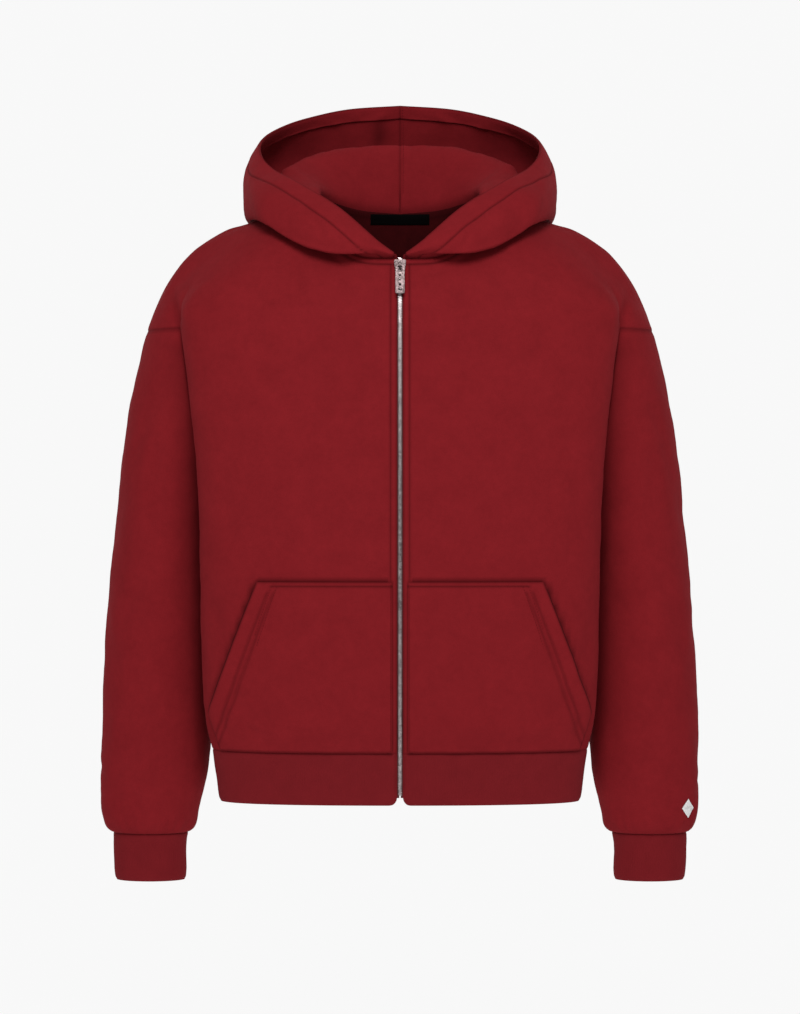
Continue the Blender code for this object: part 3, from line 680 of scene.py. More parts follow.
# The pocket's free edge, by the drop from its top and how far out it reaches.
POCKET_TOP = -391.0
POCKET_EDGE = [(0, 154), (36, 168), (79, 184), (118, 198), (144, 207), (158, 204), (184, 195)]
POCKET_ROWS_EDGE = POCKET_EDGE[:5] + [(184, 221)]
TOPSTITCH = 7.0
STITCH_GROOVE = 1.5
STITCH_SHADE = 0.35
# The size and depth of the body's slow unevenness, which the pockets share with the fronts under them.
BODY_UNEVEN = (46, 0.9)


def body_moved(piece, rows, seed):
    """How far a panel's face stands out in folds, gathers and stitched grooves, and the painted shade that
    darkens them.
    """
    points = piece.points
    moved = folds(points[:, [0, 2]], rows) + uneven(points, *BODY_UNEVEN, seed)
    moved += uneven(points, 17, 0.28, seed + 1)
    above_hem = np.clip((points[:, 2] - HEM_SEAM) / 40, 0, 1)
    gathered = np.sin(points[:, 0] / 5.1 + 2 * np.sin(points[:, 0] / 17)) * bell(above_hem - 0.2, 0.35)
    middles = np.abs(points[piece.edges].mean(axis=1))
    first = points[piece.edges[:, 0]]
    at_zip = (middles[:, 0] < 5) & (middles[:, 1] > 40) & (first[:, 1] < 0)
    at_neck = (middles[:, 0] < NECK_HALF_WIDTH + 0.5) & (middles[:, 2] < 42) & (first[:, 2] > -45)
    at_stitches = bell(piece.distance(piece.edges[at_zip | at_neck]) - TOPSTITCH, STITCH_GROOVE)
    round_neck = bell(piece.distance(piece.edges[at_neck]) - TOPSTITCH, STITCH_GROOVE)
    # Painted shade: the colour is darkened along the stitched grooves, more round the neck, and in the deeper
    # creases.
    crease_shade = np.clip(-moved - 1.2, 0, 2) * 0.10
    return moved + 0.35 * gathered - 0.5 * at_stitches, STITCH_SHADE * at_stitches + 0.25 * round_neck + crease_shade


def pocket_shadow(points):
    """Painted shadow: darkens the front's colour beside the hand opening and just above the pocket, where the
    pocket stands off.
    """
    x, y, z = np.abs(points[:, 0]), points[:, 1], points[:, 2]
    out = x - np.interp(POCKET_TOP - z, *zip(*POCKET_EDGE))
    beside = bell(np.clip(out, 0, None), 4.5) * (out > -6)
    beside *= ease((POCKET_TOP - z) / 3) * ease((z + 540) / 30) * (y < 0)
    above = bell(np.clip(z - POCKET_TOP, 0, None), 2.2) * (z > POCKET_TOP - 5)
    above *= (out < 2) & (y < 0) & (x > 12)
    return 0.8 * beside + 0.75 * above


shells = {}
for piece, side, seed in ((front_left, "left", 2), (front_right, "right", 5)):
    moved, shade = body_moved(piece, FRONT_FOLDS, seed)
    # The front takes a painted shadow beside and above the pocket.
    shade += pocket_shadow(piece.points)
    name = f"front_{side}_cloth"
    shells[side] = shell(name, piece, FLEECE, moved, lean=seam_lean, shaded_inside_finish=FLEECE_INSIDE_SHADED, shade=shade)
back_moved, shade = body_moved(back, BACK_FOLDS, 9)
back_shell = shell("back_cloth", back, FLEECE, back_moved, lean=seam_lean, shaded_inside_finish=FLEECE_INSIDE_SHADED, shade=shade)
for cloth, node, cut, area in (
    (shells["left"], "front_left", (0.37, 0.70), 0.178),
    (shells["right"], "front_right", (0.37, 0.70), 0.178),
    (back_shell, "back", (0.74, 0.72), 0.335),
):
    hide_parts(node)
    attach(cloth, "garment")


# --- Sleeves --------------------------------------------------------------------------------------
# One tube of the same fleece each, set into the armhole below the dropped shoulder and narrowing to the cuff.
# The cloth drops in long soft folds and bunches a little above the cuff, where it is gathered in.

SLEEVE_ROWS = 84
SLEEVE_FOLD_TURN = 62.0
BESIDE_SHADE = 0.30


def sleeve_nets():
    """The sleeve's net, from the cuff's seam up to the armhole, and each row's turns round the arm."""
    whole = closer(2 * CAP_COLUMNS)
    half = whole[: CAP_COLUMNS + 1] * 2
    t = np.linspace(0, 1, SLEEVE_ROWS + 1)[:-1]
    heights = list(CUFF_SEAM + (UNDERARM - CUFF_SEAM) * (0.35 * t + 0.65 * t**1.5)) + [UNDERARM]
    heights += armhole_heights()
    rows = []
    for height in heights:
        if height <= UNDERARM + 0.01:
            fore, rear = UNDERARM_TURN, UNDERARM_TURN - 2 * np.pi
        else:
            fore, rear = arm_meets_body(height, 1), arm_meets_body(height, -1)
        before = spread(arm(height, np.linspace(fore, 0, 200)), half)
        after = spread(arm(height, np.linspace(0, rear, 200)), 1 - half[::-1])
        rows.append(np.concatenate([before, after[1:]]))
    return [np.array(rows)]


# By the distance round the arm from its outermost line, towards the front, then height and the rest as above.
SLEEVE_FOLDS = [
    (58, -230, 70, 12, -10, 6, -1.6),
    (82, -300, 90, 12, 6, -6, -2.0),
    (30, -330, 80, 16, -16, 8, -1.2),
    (64, -420, 80, 13, -22, 8, -1.7),
    (26, -470, 70, 14, 24, -8, -1.2),
    (74, -520, 60, 12, 18, 6, -1.5),
    (20, -570, 55, 12, -30, 6, -1.1),
    (48, -612, 34, 9, -58, 5, -1.7),
    (8, -620, 30, 8, 54, -4, -1.4),
    (36, -646, 24, 6, -70, 3, -1.6),
    (66, -640, 24, 6, 62, 3, -1.4),
    (-20, -640, 24, 7, -60, 3, -1.5),
    (-40, -250, 80, 16, 14, 6, -1.6),
    (-66, -330, 80, 14, -18, -6, -1.9),
    (-34, -400, 60, 15, 48, 6, -1.7),
    (-70, -430, 60, 13, -52, 6, -2.0),
    (-46, -480, 54, 12, 40, -5, -1.7),
    (-74, -560, 60, 12, -24, 5, -1.6),
    (-50, -618, 30, 8, 56, 4, -1.6),
    (-70, -644, 24, 6, -64, 3, -1.5),
]


def arm_places(points):
    """The distance round the arm from its outermost line, and the height."""
    height = points[:, 2]
    centre = ARM.at("outer", height) - ARM.at("half_width", height)
    turn = np.arctan2(ARM.at("centre_y", height) - points[:, 1], np.abs(points[:, 0]) - centre)
    return np.stack([turn * SLEEVE_FOLD_TURN, height], axis=-1)


half_sleeve = sleeve_nets()
sleeve_left, sleeve_right = Piece(half_sleeve), Piece(mirrored(half_sleeve))
face_out([sleeve_left, sleeve_right])
for piece, side, seed, shift in ((sleeve_left, "left", 13, 0), (sleeve_right, "right", 17, 9)):
    places = arm_places(piece.points)
    moved = folds(places - (shift * 0.7, shift * 1.3), SLEEVE_FOLDS)
    moved += uneven(piece.points, 44, 1.0, seed) + uneven(piece.points, 16, 0.3, seed + 1)
    above_cuff = bell(places[:, 1] - CUFF_SEAM - 9, 9)
    moved += 0.7 * above_cuff * np.sin(places[:, 0] / 3.1 + 1.7 * np.sin(places[:, 0] / 11))
    x, z = np.abs(piece.points[:, 0]), piece.points[:, 2]
    # The sleeve's inner side is darker, where it hangs close beside the body and little light gets in.
    beside = np.clip(x - TORSO.at("half_width", z), 0, None)
    shade = BESIDE_SHADE * bell(beside, 17) * ease((CAP_SEAM - z) / 30) * ease((z + 650) / 120)
    cloth = shell(f"sleeve_{side}_cloth", piece, FLEECE, moved, lean=seam_lean, shade=shade)
    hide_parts(f"sleeve_{side}")
    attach(cloth, "garment")
    shells[f"sleeve_{side}"] = cloth


# --- Cuffs and hem band ---------------------------------------------------------------------------
# Rib knit bands, each folded double, so they are thicker and their free edges are round. The ribs run up and
# down. The hem band stops at the zip on both sides with small round corners.

CUFF = Table("depth centre_x half_width half_depth", [
    (0, 280.5, 42, 30),
    (11, 281.5, 40.8, 28.5),
    (39, 281, 40.5, 28),
    (52.5, 280.5, 39.5, 27),
])
CUFF_CENTRE_Y = 16.0
RIB_PITCH = 2.5
RIB_POINTS = 5
RIB_DEPTH = 0.42
BAND_WALL = 3.2
CORNER = 9.0
ZIP_END = -625.5

rib = Finish("rib_red", Roughness=0.95, Sheen_Weight=0.08, Sheen_Roughness=0.5, Specular_IOR_Level=0.10)
rib.surface.inputs["Sheen Tint"].default_value = (0.60, 0.10, 0.12, 1)
rib_shade = rib.clouds(60, 3) * 0.6 + rib.clouds(700, 2) * 0.5
rib.colour(rib.between(rib_shade, (0.130, 0.0068, 0.0096), (0.190, 0.0105, 0.0145)))
rib.bump(rib.clouds(1300, 3, (1, 1, 0.4)) + rib.clouds(380, 2) * 0.4, 0.0002, 0.5)
RIB = rib.material


def ribbed(piece, length):
    """The ribs stand out along a band, soft and all alike, and fade into its turned edges."""
    across = np.zeros(len(piece.points))
    across[piece.quads.reshape(-1)] = piece.corner_flats.reshape(-1, 2)[:, 0]
    wave = np.abs(np.sin(np.pi * across / RIB_PITCH * (RIB_PITCH * round(length / RIB_PITCH) / length)))
    return RIB_DEPTH * (wave**0.7 - 0.6)


def girth_of(line):
    return np.linalg.norm(np.diff(line, axis=0), axis=1).sum()


def rib_columns(line, length):
    """Points along a band's line, a few to each rib."""
    return spread(line, np.linspace(0, 1, round(length / RIB_PITCH) * RIB_POINTS + 1))


def cuff_nets():
    depth = np.array([-2.5, 0, 1.2, 2.6, 4.5, 7, 11, 16, 22, 28, 34, 40, 44, 47, 49.3, 50.9, 52, 52.5])[::-1]
    outline = np.linspace(0, -2 * np.pi, 200)
    girth = None
    rows = []
    for d in depth:
        turn = UNDERARM_TURN + outline
        x = CUFF.at("centre_x", d) + CUFF.at("half_width", d) * np.cos(turn)
        y = CUFF_CENTRE_Y - CUFF.at("half_depth", d) * np.sin(turn)
        line = np.stack([x, y, CUFF_SEAM - d + 0 * x], axis=-1)
        girth = girth or girth_of(line)
        rows.append(rib_columns(line, girth))
    return [np.array(rows)], girth


def band_moved(piece, length, seed):
    return ribbed(piece, length) * ease(piece.from_edge / 5) + uneven(piece.points, 22, 0.5, seed)


def tuck_in(piece, depth):
    """Draws a band in where it passes under the cloth's edge at its seam."""
    piece.points = piece.points - piece.out * depth[:, None]


half_cuff, cuff_girth = cuff_nets()
cuff_left, cuff_right = Piece(half_cuff), Piece(mirrored(half_cuff))
face_out([cuff_left, cuff_right])
for piece, side, seed in ((cuff_left, "left", 21), (cuff_right, "right", 23)):
    tuck_in(piece, 1.3 * np.clip((piece.points[:, 2] - CUFF_SEAM) / 2.5, 0, 1))
    moved = band_moved(piece, cuff_girth, seed)
    cloth = shell(f"cuff_{side}_rib", piece, RIB, moved, BAND_WALL, dip=1.3, roll=2.2)
    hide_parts(f"cuff_{side}")
    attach(cloth, "garment")


def hem_net():
    """Half the band, from the zip round to the centre back, with a row for each height."""
    steps = np.array([0, 0.6, 1.6, 3.2, 5.5, 8, 12, 18, 25, 32, 39, 45, 49, 51.5, 53.5, 55.2, 56.5, 58.5])
    rows = []
    length = None
    for height in HEM_BOTTOM + steps:
        y, level = UNDERARM_POINT[1], min(height, HEM_SEAM)
        end = np.array([float(torso_side(level, y)), y, level])
        low = max(0.0, CORNER - (height - HEM_BOTTOM)) / CORNER
        first = ZIP_HALF_GAP + CORNER * 0.9 * (1 - np.sqrt(max(0.0, 1 - low * low)))
        fore = torso_line(level, True, first, end)
        rear = torso_line(level, False, 0.0, end)[::-1]
        line = np.concatenate([fore, rear[1:]])
        line[:, 2] = height
        length = length or girth_of(line)
        rows.append(rib_columns(line, length))
    return np.array(rows), length


half_hem, hem_length = hem_net()
hem = Piece([half_hem, mirrored([half_hem])[0]])
face_out([hem])
tuck_in(hem, 1.2 * np.clip((hem.points[:, 2] - HEM_SEAM) / 2.0, 0, 1))
hem_band = shell("hem_rib", hem, RIB, band_moved(hem, hem_length, 27), BAND_WALL, dip=1.4, roll=2.4)
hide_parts("hem_band")
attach(hem_band, "garment")


# --- Hood -----------------------------------------------------------------------------------------
# Two halves of the fleece joined by one seam over the crown, sewn round the neck and lying back off the head.
# The free edge is turned in 28 mm and sewn down, so it is twice as thick there and has a step inside.

STAND_HEIGHT = 9.0
HOOD_HEM = 28.0
HOOD_HEM_DRAWN = 12.5
HOOD_HEM_GROOVE = 1.7
HOOD_HEM_THICKER = 1.5
UNDERSIDE_TURN = 48
CROWN_FOLD_TURN = 174
HOOD_ROWS = 74
SPAN_STEPS = 40

CREST = Table("turn out back up", [
    (0, 3, -109, -39.5),
    (15, 25, -107, -36),
    (35, 57, -97, -22),
    (60, 94, -64, 6),
    (80, 112, -22, 36),
    (97, 124, 18, 50),
    (112, 131, 60, 68),
    (130, 117, 91, 86),
    (150, 84, 110, 100),
    (165, 45, 118, 107),
    (180, 0, 120, 108),
])
TUCK = Table("turn out back up", [
    (0, 3, -111, -39),
    (15, 27, -112, -36),
    (35, 71, -108, -34),
    (60, 119, -83, -18),
    (80, 152, -54, 3),
    (97, 170, 13, 12),
    (112, 166, 72, 4),
    (130, 146, 124, -14),
    (150, 105, 162, -32),
    (165, 58, 180, -42),
    (180, 0, 186, -46),
])
BULGE = Table("turn out back up", [
    (0, 3, -112, -38),
    (15, 28, -117, -30),
    (35, 76, -108, -8),
    (60, 126, -80, 20),
    (80, 159, -40, 36),
    (97, 175, 31, 58),
    (112, 177, 88, 76),
    (130, 163, 150, 84),
    (150, 118, 197, 88),
    (165, 64, 217, 86),
    (180, 0, 223, 84),
])
RIM = Table("turn out back up", [
    (0, 3, -111, -36),
    (15, 25, -111, -20),
    (35, 66, -87, 17),
    (60, 115, -46, 51),
    (80, 143, -2, 70),
    (97, 160, 42, 93),
    (112, 159, 88, 115),
    (130, 135, 140, 137),
    (150, 98, 174, 153),
    (165, 58, 192, 163),
    (180, 0, 201, 168),
])


def through(marks):
    """A smooth line through some points, with more even speed on short spans."""
    padded = np.concatenate([[2 * marks[0] - marks[1]], marks, [2 * marks[-1] - marks[-2]]])
    t = np.arange(SPAN_STEPS)[:, None] / SPAN_STEPS
    line = []
    for a, b, c, d in zip(padded, padded[1:], padded[2:], padded[3:]):
        ab, bc, cd = (np.linalg.norm(q - p) ** 0.5 for p, q in ((a, b), (b, c), (c, d)))
        start = ((b - a) / ab - (c - a) / (ab + bc) + (c - b) / bc) * bc
        end = ((c - b) / bc - (d - b) / (bc + cd) + (d - c) / cd) * bc
        span = b * (1 + 2 * t) * (1 - t) ** 2 + start * t * (1 - t) ** 2
        line.append(span + c * t * t * (3 - 2 * t) - end * t * t * (1 - t))
    return np.concatenate(line + [marks[-1:]])


def hem_width(turn):
    """The turned-in edge is narrower over the crown than down the sides."""
    return HOOD_HEM - HOOD_HEM_DRAWN * ease((turn - 95) / 55)


def hood_section(turn):
    """One section of the hood from its neck seam to its rim, closest together at the rim and its hem's step."""
    neck = NECK.points("out back up", turn)
    stand = neck + (0, 0, 1 + (STAND_HEIGHT - 1) * np.clip((turn - 8) / 50, 0, 1))
    marks = [neck, stand] + [table.points("out back up", turn) for table in (CREST, TUCK, BULGE, RIM)]
    line = through(np.array(marks))
    length = girth_of(line)
    near = np.array([0, 0.8, 1.8, 3.2, 5.5, 9, 13, 17, 21, 24.5, 26.6, 27.6, 28.3, 29.1, 30.4, 32.5, 36])
    near = near * hem_width(turn) / HOOD_HEM * min(1, length / 60)
    t = np.linspace(0, 1, HOOD_ROWS + 1)[1:]
    rest = near[-1] + (length - near[-1]) * (t - 0.72 * (np.cos(np.pi * t) * -1 + 1 - 2 * t) / 6 * (t > 0.5))
    rest[-1] = length
    return spread(line, 1 - np.concatenate([near, rest])[::-1] / length)


neck_shares = neck_share(np.arange(NECK_COLUMNS + 1))
turns = np.concatenate([neck_turn(True, neck_shares, ZIP_HALF_GAP), neck_turn(False, neck_shares, 0.0)[-2::-1]])
half_hood = [np.stack([hood_section(turn) for turn in turns], axis=1)]
hood_left, hood_right = Piece(half_hood), Piece(mirrored(half_hood))
face_out([hood_left, hood_right])

# By the turn round the neck and the distance from the rim, then length, width, turn, bow and depth.
HOOD_FOLDS = [
    (168, 8, 9, 1.2, 12, 1, -1.3),
    (160, 10, 8, 1.2, -14, 1, -1.0),
    (166, 14, 13, 4, 22, 3, -1.5),
    (172, 60, 40, 5, -12, 3, 2.2),
    (150, 12, 12, 3.5, -26, 3, -1.2),
    (158, 160, 60, 6, 8, 5, -1.6),
    (138, 200, 70, 6, 24, 6, -2.0),
    (118, 90, 60, 6, -10, 5, -1.5),
    (122, 240, 60, 7, -26, -5, -1.8),
    (84, 60, 50, 6, 14, 4, -1.2),
    (56, 44, 40, 5, -16, 4, -1.3),
    (36, 38, 26, 4, 20, 2, -1.0),
]


def hood_shell(piece, side, seed):
    """One half's cloth, with its folds, its sewn-down edge, and on the right a painted shade of a fold inside
    the crown.
    """
    points = piece.points
    sections = len(turns)
    per_turn = half_hood[0].shape[0]
    grid = half_hood[0] if side == "left" else mirrored(half_hood)[0]
    _, number = weld(grid.reshape(-1, 3))
    from_rim = np.zeros(len(points))
    lengths = np.linalg.norm(np.diff(grid[::-1], axis=0), axis=2).cumsum(axis=0)
    lengths = np.concatenate([np.zeros((1, sections)), lengths])[::-1]
    from_rim[number] = lengths.reshape(-1)
    turn_at = np.zeros(len(points))
    order = turns if side == "left" else turns[::-1]
    turn_at[number] = np.broadcast_to(order, (per_turn, sections)).reshape(-1)
    places = np.stack([turn_at, from_rim], axis=-1)
    moved = folds(places - (0 if side == "left" else 7, 0), HOOD_FOLDS)
    moved += uneven(points, 42, 1.1, seed) + uneven(points, 15, 0.35, seed + 1)
    at_hem = bell(from_rim - hem_width(turn_at), HOOD_HEM_GROOVE)
    moved -= 0.9 * at_hem
    underside = ease((-piece.out[:, 2] - 0.15) / 0.5) * (from_rim > 40)
    moved += underside * 2.5 * bell(turn_at - UNDERSIDE_TURN, 16)
    # Painted shade: on the right half, a dark wedge is painted on the inside face of the crown beside a fold.
    shade_in = 0.0
    if side == "right":
        shade_in = 0.45 * bell(turn_at - CROWN_FOLD_TURN, 2.0)
        shade_in *= ease((from_rim - 17) / 4) * ease((62 - from_rim) / 24)
    wall = WALL + HOOD_HEM_THICKER * ease((hem_width(turn_at) + 0.6 - from_rim) / 1.4)
    # Painted shade: the colour is darkened along the groove at the turned-in edge's step.
    shades = {"shade": SEAM_SHADE * at_hem, "shade_in": shade_in}
    cloth = shell(f"hood_{side}_cloth", piece, FLEECE, moved, wall, lean=seam_lean, dip=1.1, roll=2.0, **shades)
    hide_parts(f"hood_{side}")
    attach(cloth, "garment")
    shells[f"hood_{side}"] = cloth


hood_shell(hood_left, "left", 31)
hood_shell(hood_right, "right", 35)


# --- Pockets --------------------------------------------------------------------------------------
# Two kangaroo patches of fleece laid on the fronts, with a slanted opening for each hand. Their edges are
# turned under and sewn down, with two rows of stitches along each opening.

POCKET_CENTRE = 8.0
POCKET_LOW = -575.0
POCKET_RAISE = 3.1
POCKET_WALL = 2.2
POCKET_STITCHES = (16.0, 22.5)
POCKET_GROOVE = 1.7
POCKET_HEM = 4.5
POCKET_EDGE_CORNER = -535.0
POCKET_ROWS = 74
POCKET_COLUMNS = 74


def pocket_edge(height):
    """How far out the pocket reaches: straight runs between the corners of its edge."""
    return np.interp(POCKET_TOP - height, *zip(*POCKET_EDGE))


def pocket_net():
    rows = []
    for height in POCKET_LOW + (POCKET_TOP - POCKET_LOW) * closer(POCKET_ROWS):
        out = pocket_edge(height)
        turns = np.linspace(0, np.pi / 2, 420)
        line = torso(height, turns)
        end = on_line(line, line[:, 0], out)
        inner = line[(line[:, 0] > POCKET_CENTRE) & (line[:, 0] < out)]
        line = np.concatenate([[[POCKET_CENTRE, line[0, 1], height]], inner, [end]])
        rows.append(spread(line, closer(POCKET_COLUMNS)))
    return [np.array(rows)]


# Folds on the pockets themselves, added to those of the fronts under them.
POCKET_FOLDS = [
    (-150, -560, 40, 8, 52, 3, -0.9),
    (152, -562, 40, 8, -50, -3, -0.9),
    (-60, -480, 70, 18, 70, 5, -0.6),
    (70, -500, 60, 16, -60, 5, -0.6),
    (-176, -520, 40, 8, 20, 3, -0.9),
    (178, -515, 40, 8, -22, -3, -0.9),
]

half_pocket = pocket_net()
pocket_left, pocket_right = Piece(half_pocket), Piece(mirrored(half_pocket))
face_out([pocket_left, pocket_right])
for piece, side, seed in ((pocket_left, "left", 2), (pocket_right, "right", 5)):
    points = piece.points
    over_front = folds(points[:, [0, 2]], FRONT_FOLDS) + uneven(points, *BODY_UNEVEN, seed)
    own = folds(points[:, [0, 2]], POCKET_FOLDS) + uneven(points, 19, 0.3, seed + 40)
    drop = POCKET_TOP - points[:, 2]
    from_opening = np.interp(drop, *zip(*POCKET_ROWS_EDGE)) - np.abs(points[:, 0])
    at_hand = ease((points[:, 2] + 546) / 24) * ease(drop / 14)
    lifted = 3.4 * bell(from_opening, 10) * at_hand
    rows = sum(bell(from_opening - place, POCKET_GROOVE) for place in POCKET_STITCHES) * ease((drop - 7) / 6)
    top_row = bell(drop - POCKET_HEM, 1.6) * ease((from_opening - 14) / 4)
    own -= 1.0 * rows + 0.8 * top_row
    raised = POCKET_RAISE + 0.5 * ease(piece.from_edge / 9) + lifted
    piece.points = points + piece.out * (over_front * 0.9 + raised)[:, None]
    # Painted shade: darker colour in the stitched grooves, along the top row and right at the hand opening's
    # edge.
    shade = 0.34 * rows + 0.4 * top_row + 0.5 * bell(from_opening, 2.2) * at_hand
    cloth = shell(f"pocket_{side}_cloth", piece, FLEECE, own, POCKET_WALL, dip=1.0, roll=1.7, shade=shade)
    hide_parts(f"pocket_{side}")
    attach(cloth, "garment")
    shells[f"pocket_{side}"] = cloth


# --- Zip ------------------------------------------------------------------------------------------
# A metal zip, closed to the neck: two cotton tapes sewn behind the fronts' edges, and teeth that alternate
# along their meeting edges. The slider sits at the top with its pull tab hanging down.

TOOTH_PITCH = 1.35
TOOTH_REACH = 2.6
TAPE = Finish("zip_tape_red", Roughness=0.8, Sheen_Weight=0.2)
weave = TAPE.node("ShaderNodeTexWave", {"bands_direction": "Z"}, {"Vector": TAPE.place(), "Scale": 260.0})
TAPE.colour(TAPE.between(weave, (0.075, 0.005, 0.007), (0.125, 0.008, 0.011)))
TAPE.bump(weave, 0.0001, 0.5)


def nickel(name, dull, bright):
    """Polished metal with rubbed, duller patches."""
    made = Finish(name, Metallic=1.0)
    patches = made.clouds(700, 3) * 0.6 + made.clouds(160, 2) * 0.4
    made.colour(made.between(made.node("ShaderNodeMapRange", {}, {0: patches, 1: 0.35, 2: 0.65}), dull, bright))
    made.tree.links.new((made.clouds(500, 2) * 0.3 + 0.22).socket, made.surface.inputs["Roughness"])
    made.bump(made.clouds(1200, 2), 0.00004, 0.4)
    return made.material


METAL = nickel("zip_metal", (0.026, 0.019, 0.019), (0.165, 0.125, 0.125))
TEETH_METAL = nickel("zip_teeth_metal", (0.17, 0.14, 0.14), (0.85, 0.74, 0.74))

for node in ("zip_tape_left", "zip_tape_right"):
    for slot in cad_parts[node].material_slots:
        slot.material = TAPE.material


def front_line(x, lift):
    """The line up the front at a distance from the middle, over the hem band and the panel to the neck."""
    rows = [row[:40] for net in (half_hem[:-2], half_front[0][1:], half_front[1][1:]) for row in net]
    line = np.array([on_line(row, row[:, 0], x) for row in rows])
    tangent = unit(np.gradient(line, axis=0))
    out = unit(np.stack([0 * tangent[:, 0], -tangent[:, 2], tangent[:, 1]], axis=-1))
    line = line + out * lift
    line[:, 0] = x
    return line


def tree_of(name, sockets):
    """A new Geometry Nodes tree with a geometry going in and out, and named inputs."""
    tree = bpy.data.node_groups.new(name, "GeometryNodeTree")
    tree.interface.new_socket("Geometry", in_out="INPUT", socket_type="NodeSocketGeometry")
    for socket, kind in sockets.items():
        tree.interface.new_socket(socket, in_out="INPUT", socket_type=f"NodeSocket{kind}")
    tree.interface.new_socket("Geometry", in_out="OUTPUT", socket_type="NodeSocketGeometry")
    return tree, tree.nodes.new("NodeGroupInput"), tree.nodes.new("NodeGroupOutput")


def add(tree, kind, settings=None, **links):
    """A node of a tree, with its settings. Its sockets' links or values go by name, with _ for a space."""
    made = tree.nodes.new(kind)
    for setting, value in (settings or {}).items():
        setattr(made, setting, value)
    for socket, value in links.items():
        target = made.inputs[int(socket[1:])] if socket[0] == "n" and socket[1:].isdigit() else None
        target = target or made.inputs[socket.replace("_", " ")]
        if isinstance(value, bpy.types.NodeSocket):
            tree.links.new(value, target)
        else:
            target.default_value = value
    return made


def evaluated_mesh(thing):
    """A plain mesh of an object as its modifiers leave it."""
    depsgraph = bpy.context.evaluated_depsgraph_get()
    return bpy.data.meshes.new_from_object(thing.evaluated_get(depsgraph), depsgraph=depsgraph)


def grown(thing, tree, name, **inputs):
    """Runs a tree on an object and keeps the result as a plain mesh under a new name."""
    change = thing.modifiers.new("grow", "NODES")
    change.node_group = tree
    for item in tree.interface.items_tree:
        if item.in_out == "INPUT" and item.name in inputs:
            change[item.identifier] = inputs[item.name]
    mesh = evaluated_mesh(thing)
    thing.modifiers.remove(change)
    bpy.data.objects.remove(thing, do_unlink=True)
    return linked(name, mesh)


def along_lines(name, lines):
    """A guide: one run of edges for each line of points."""
    points = np.concatenate(lines) * MM
    edges = []
    start = 0
    for line in lines:
        edges += [(start + k, start + k + 1) for k in range(len(line) - 1)]
        start += len(line)
    mesh = bpy.data.meshes.new(name)
    mesh.from_pydata(points.tolist(), edges, [])
    return linked(name, mesh)


def spaced_along(tree, given):
    """Evenly spaced points on the lines given, and the turn that stands a shape's Z along each line."""
    curve = add(tree, "GeometryNodeMeshToCurve", Mesh=given.outputs["Geometry"])
    length = given.outputs["Pitch"]
    spaced = add(tree, "GeometryNodeResampleCurve", {"mode": "LENGTH"}, Curve=curve.outputs[0], Length=length)
    tangent = add(tree, "GeometryNodeInputTangent")
    facing = add(tree, "FunctionNodeAlignEulerToVector", {"axis": "Z"}, Vector=tangent.outputs[0])
    return spaced.outputs[0], facing.outputs[0]


def finish_tree(tree, given, result, points, shape, turn):
    """Puts a shape on each point as real faces with the given finish."""
    placed = add(tree, "GeometryNodeInstanceOnPoints", Points=points, Instance=shape, Rotation=turn)
    real = add(tree, "GeometryNodeRealizeInstances", Geometry=placed.outputs[0])
    done = add(tree, "GeometryNodeSetMaterial", Geometry=real.outputs[0], Material=given.outputs["Finish"])
    tree.links.new(done.outputs[0], result.inputs[0])
    return tree


def teeth_tree():
    """Teeth along a line: a block and a rounder head, each second one turned to the other side."""
    tree, given, result = tree_of("zip_teeth", {"Pitch": "Float", "Reach": "Float", "Finish": "Material"})
    spaced, upright = spaced_along(tree, given)
    reach = given.outputs["Reach"]
    leg_size = add(tree, "ShaderNodeCombineXYZ", X=reach, Y=0.0020, Z=0.00082)
    leg = add(tree, "GeometryNodeMeshCube", Size=leg_size.outputs[0])
    shifted = add(tree, "ShaderNodeMath", {"operation": "MULTIPLY"}, n0=reach, n1=0.30)
    leg_place = add(tree, "ShaderNodeCombineXYZ", X=shifted.outputs[0])
    leg = add(tree, "GeometryNodeTransform", Geometry=leg.outputs[0], Translation=leg_place.outputs[0])
    head = add(tree, "GeometryNodeMeshCylinder", Vertices=10, Radius=0.00115, Depth=0.00098)
    head_place = add(tree, "ShaderNodeCombineXYZ", X=-0.0004, Y=-0.00015)
    head = add(tree, "GeometryNodeTransform", Geometry=head.outputs[0], Translation=head_place.outputs[0])
    tooth = add(tree, "GeometryNodeJoinGeometry")
    tree.links.new(leg.outputs[0], tooth.inputs[0])
    tree.links.new(head.outputs[0], tooth.inputs[0])
    number = add(tree, "GeometryNodeInputIndex")
    odd = add(tree, "ShaderNodeMath", {"operation": "MODULO"}, n0=number.outputs[0], n1=2.0)
    turn = add(tree, "ShaderNodeMath", {"operation": "MULTIPLY"}, n0=odd.outputs[0], n1=np.pi)
    spin = add(tree, "ShaderNodeCombineXYZ", Z=turn.outputs[0])
    local = {"space": "LOCAL"}
    facing = add(tree, "FunctionNodeRotateEuler", local, Rotation=upright, Rotate_By=spin.outputs[0])
    return finish_tree(tree, given, result, spaced, tooth.outputs[0], facing.outputs[0])


chain_line = front_line(0.0, 0.2)
chain_line = chain_line[chain_line[:, 2] > ZIP_END]
chain_guide = along_lines("chain_guide", [chain_line])
sizes = {"Pitch": TOOTH_PITCH * MM, "Reach": TOOTH_REACH * MM, "Finish": TEETH_METAL}
chain = grown(chain_guide, teeth_tree(), "zip_teeth", **sizes)
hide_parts("zip_chain")
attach(chain, "garment")

SLIDER_BEVEL = 0.00032
PULL_BEVEL = 0.00022


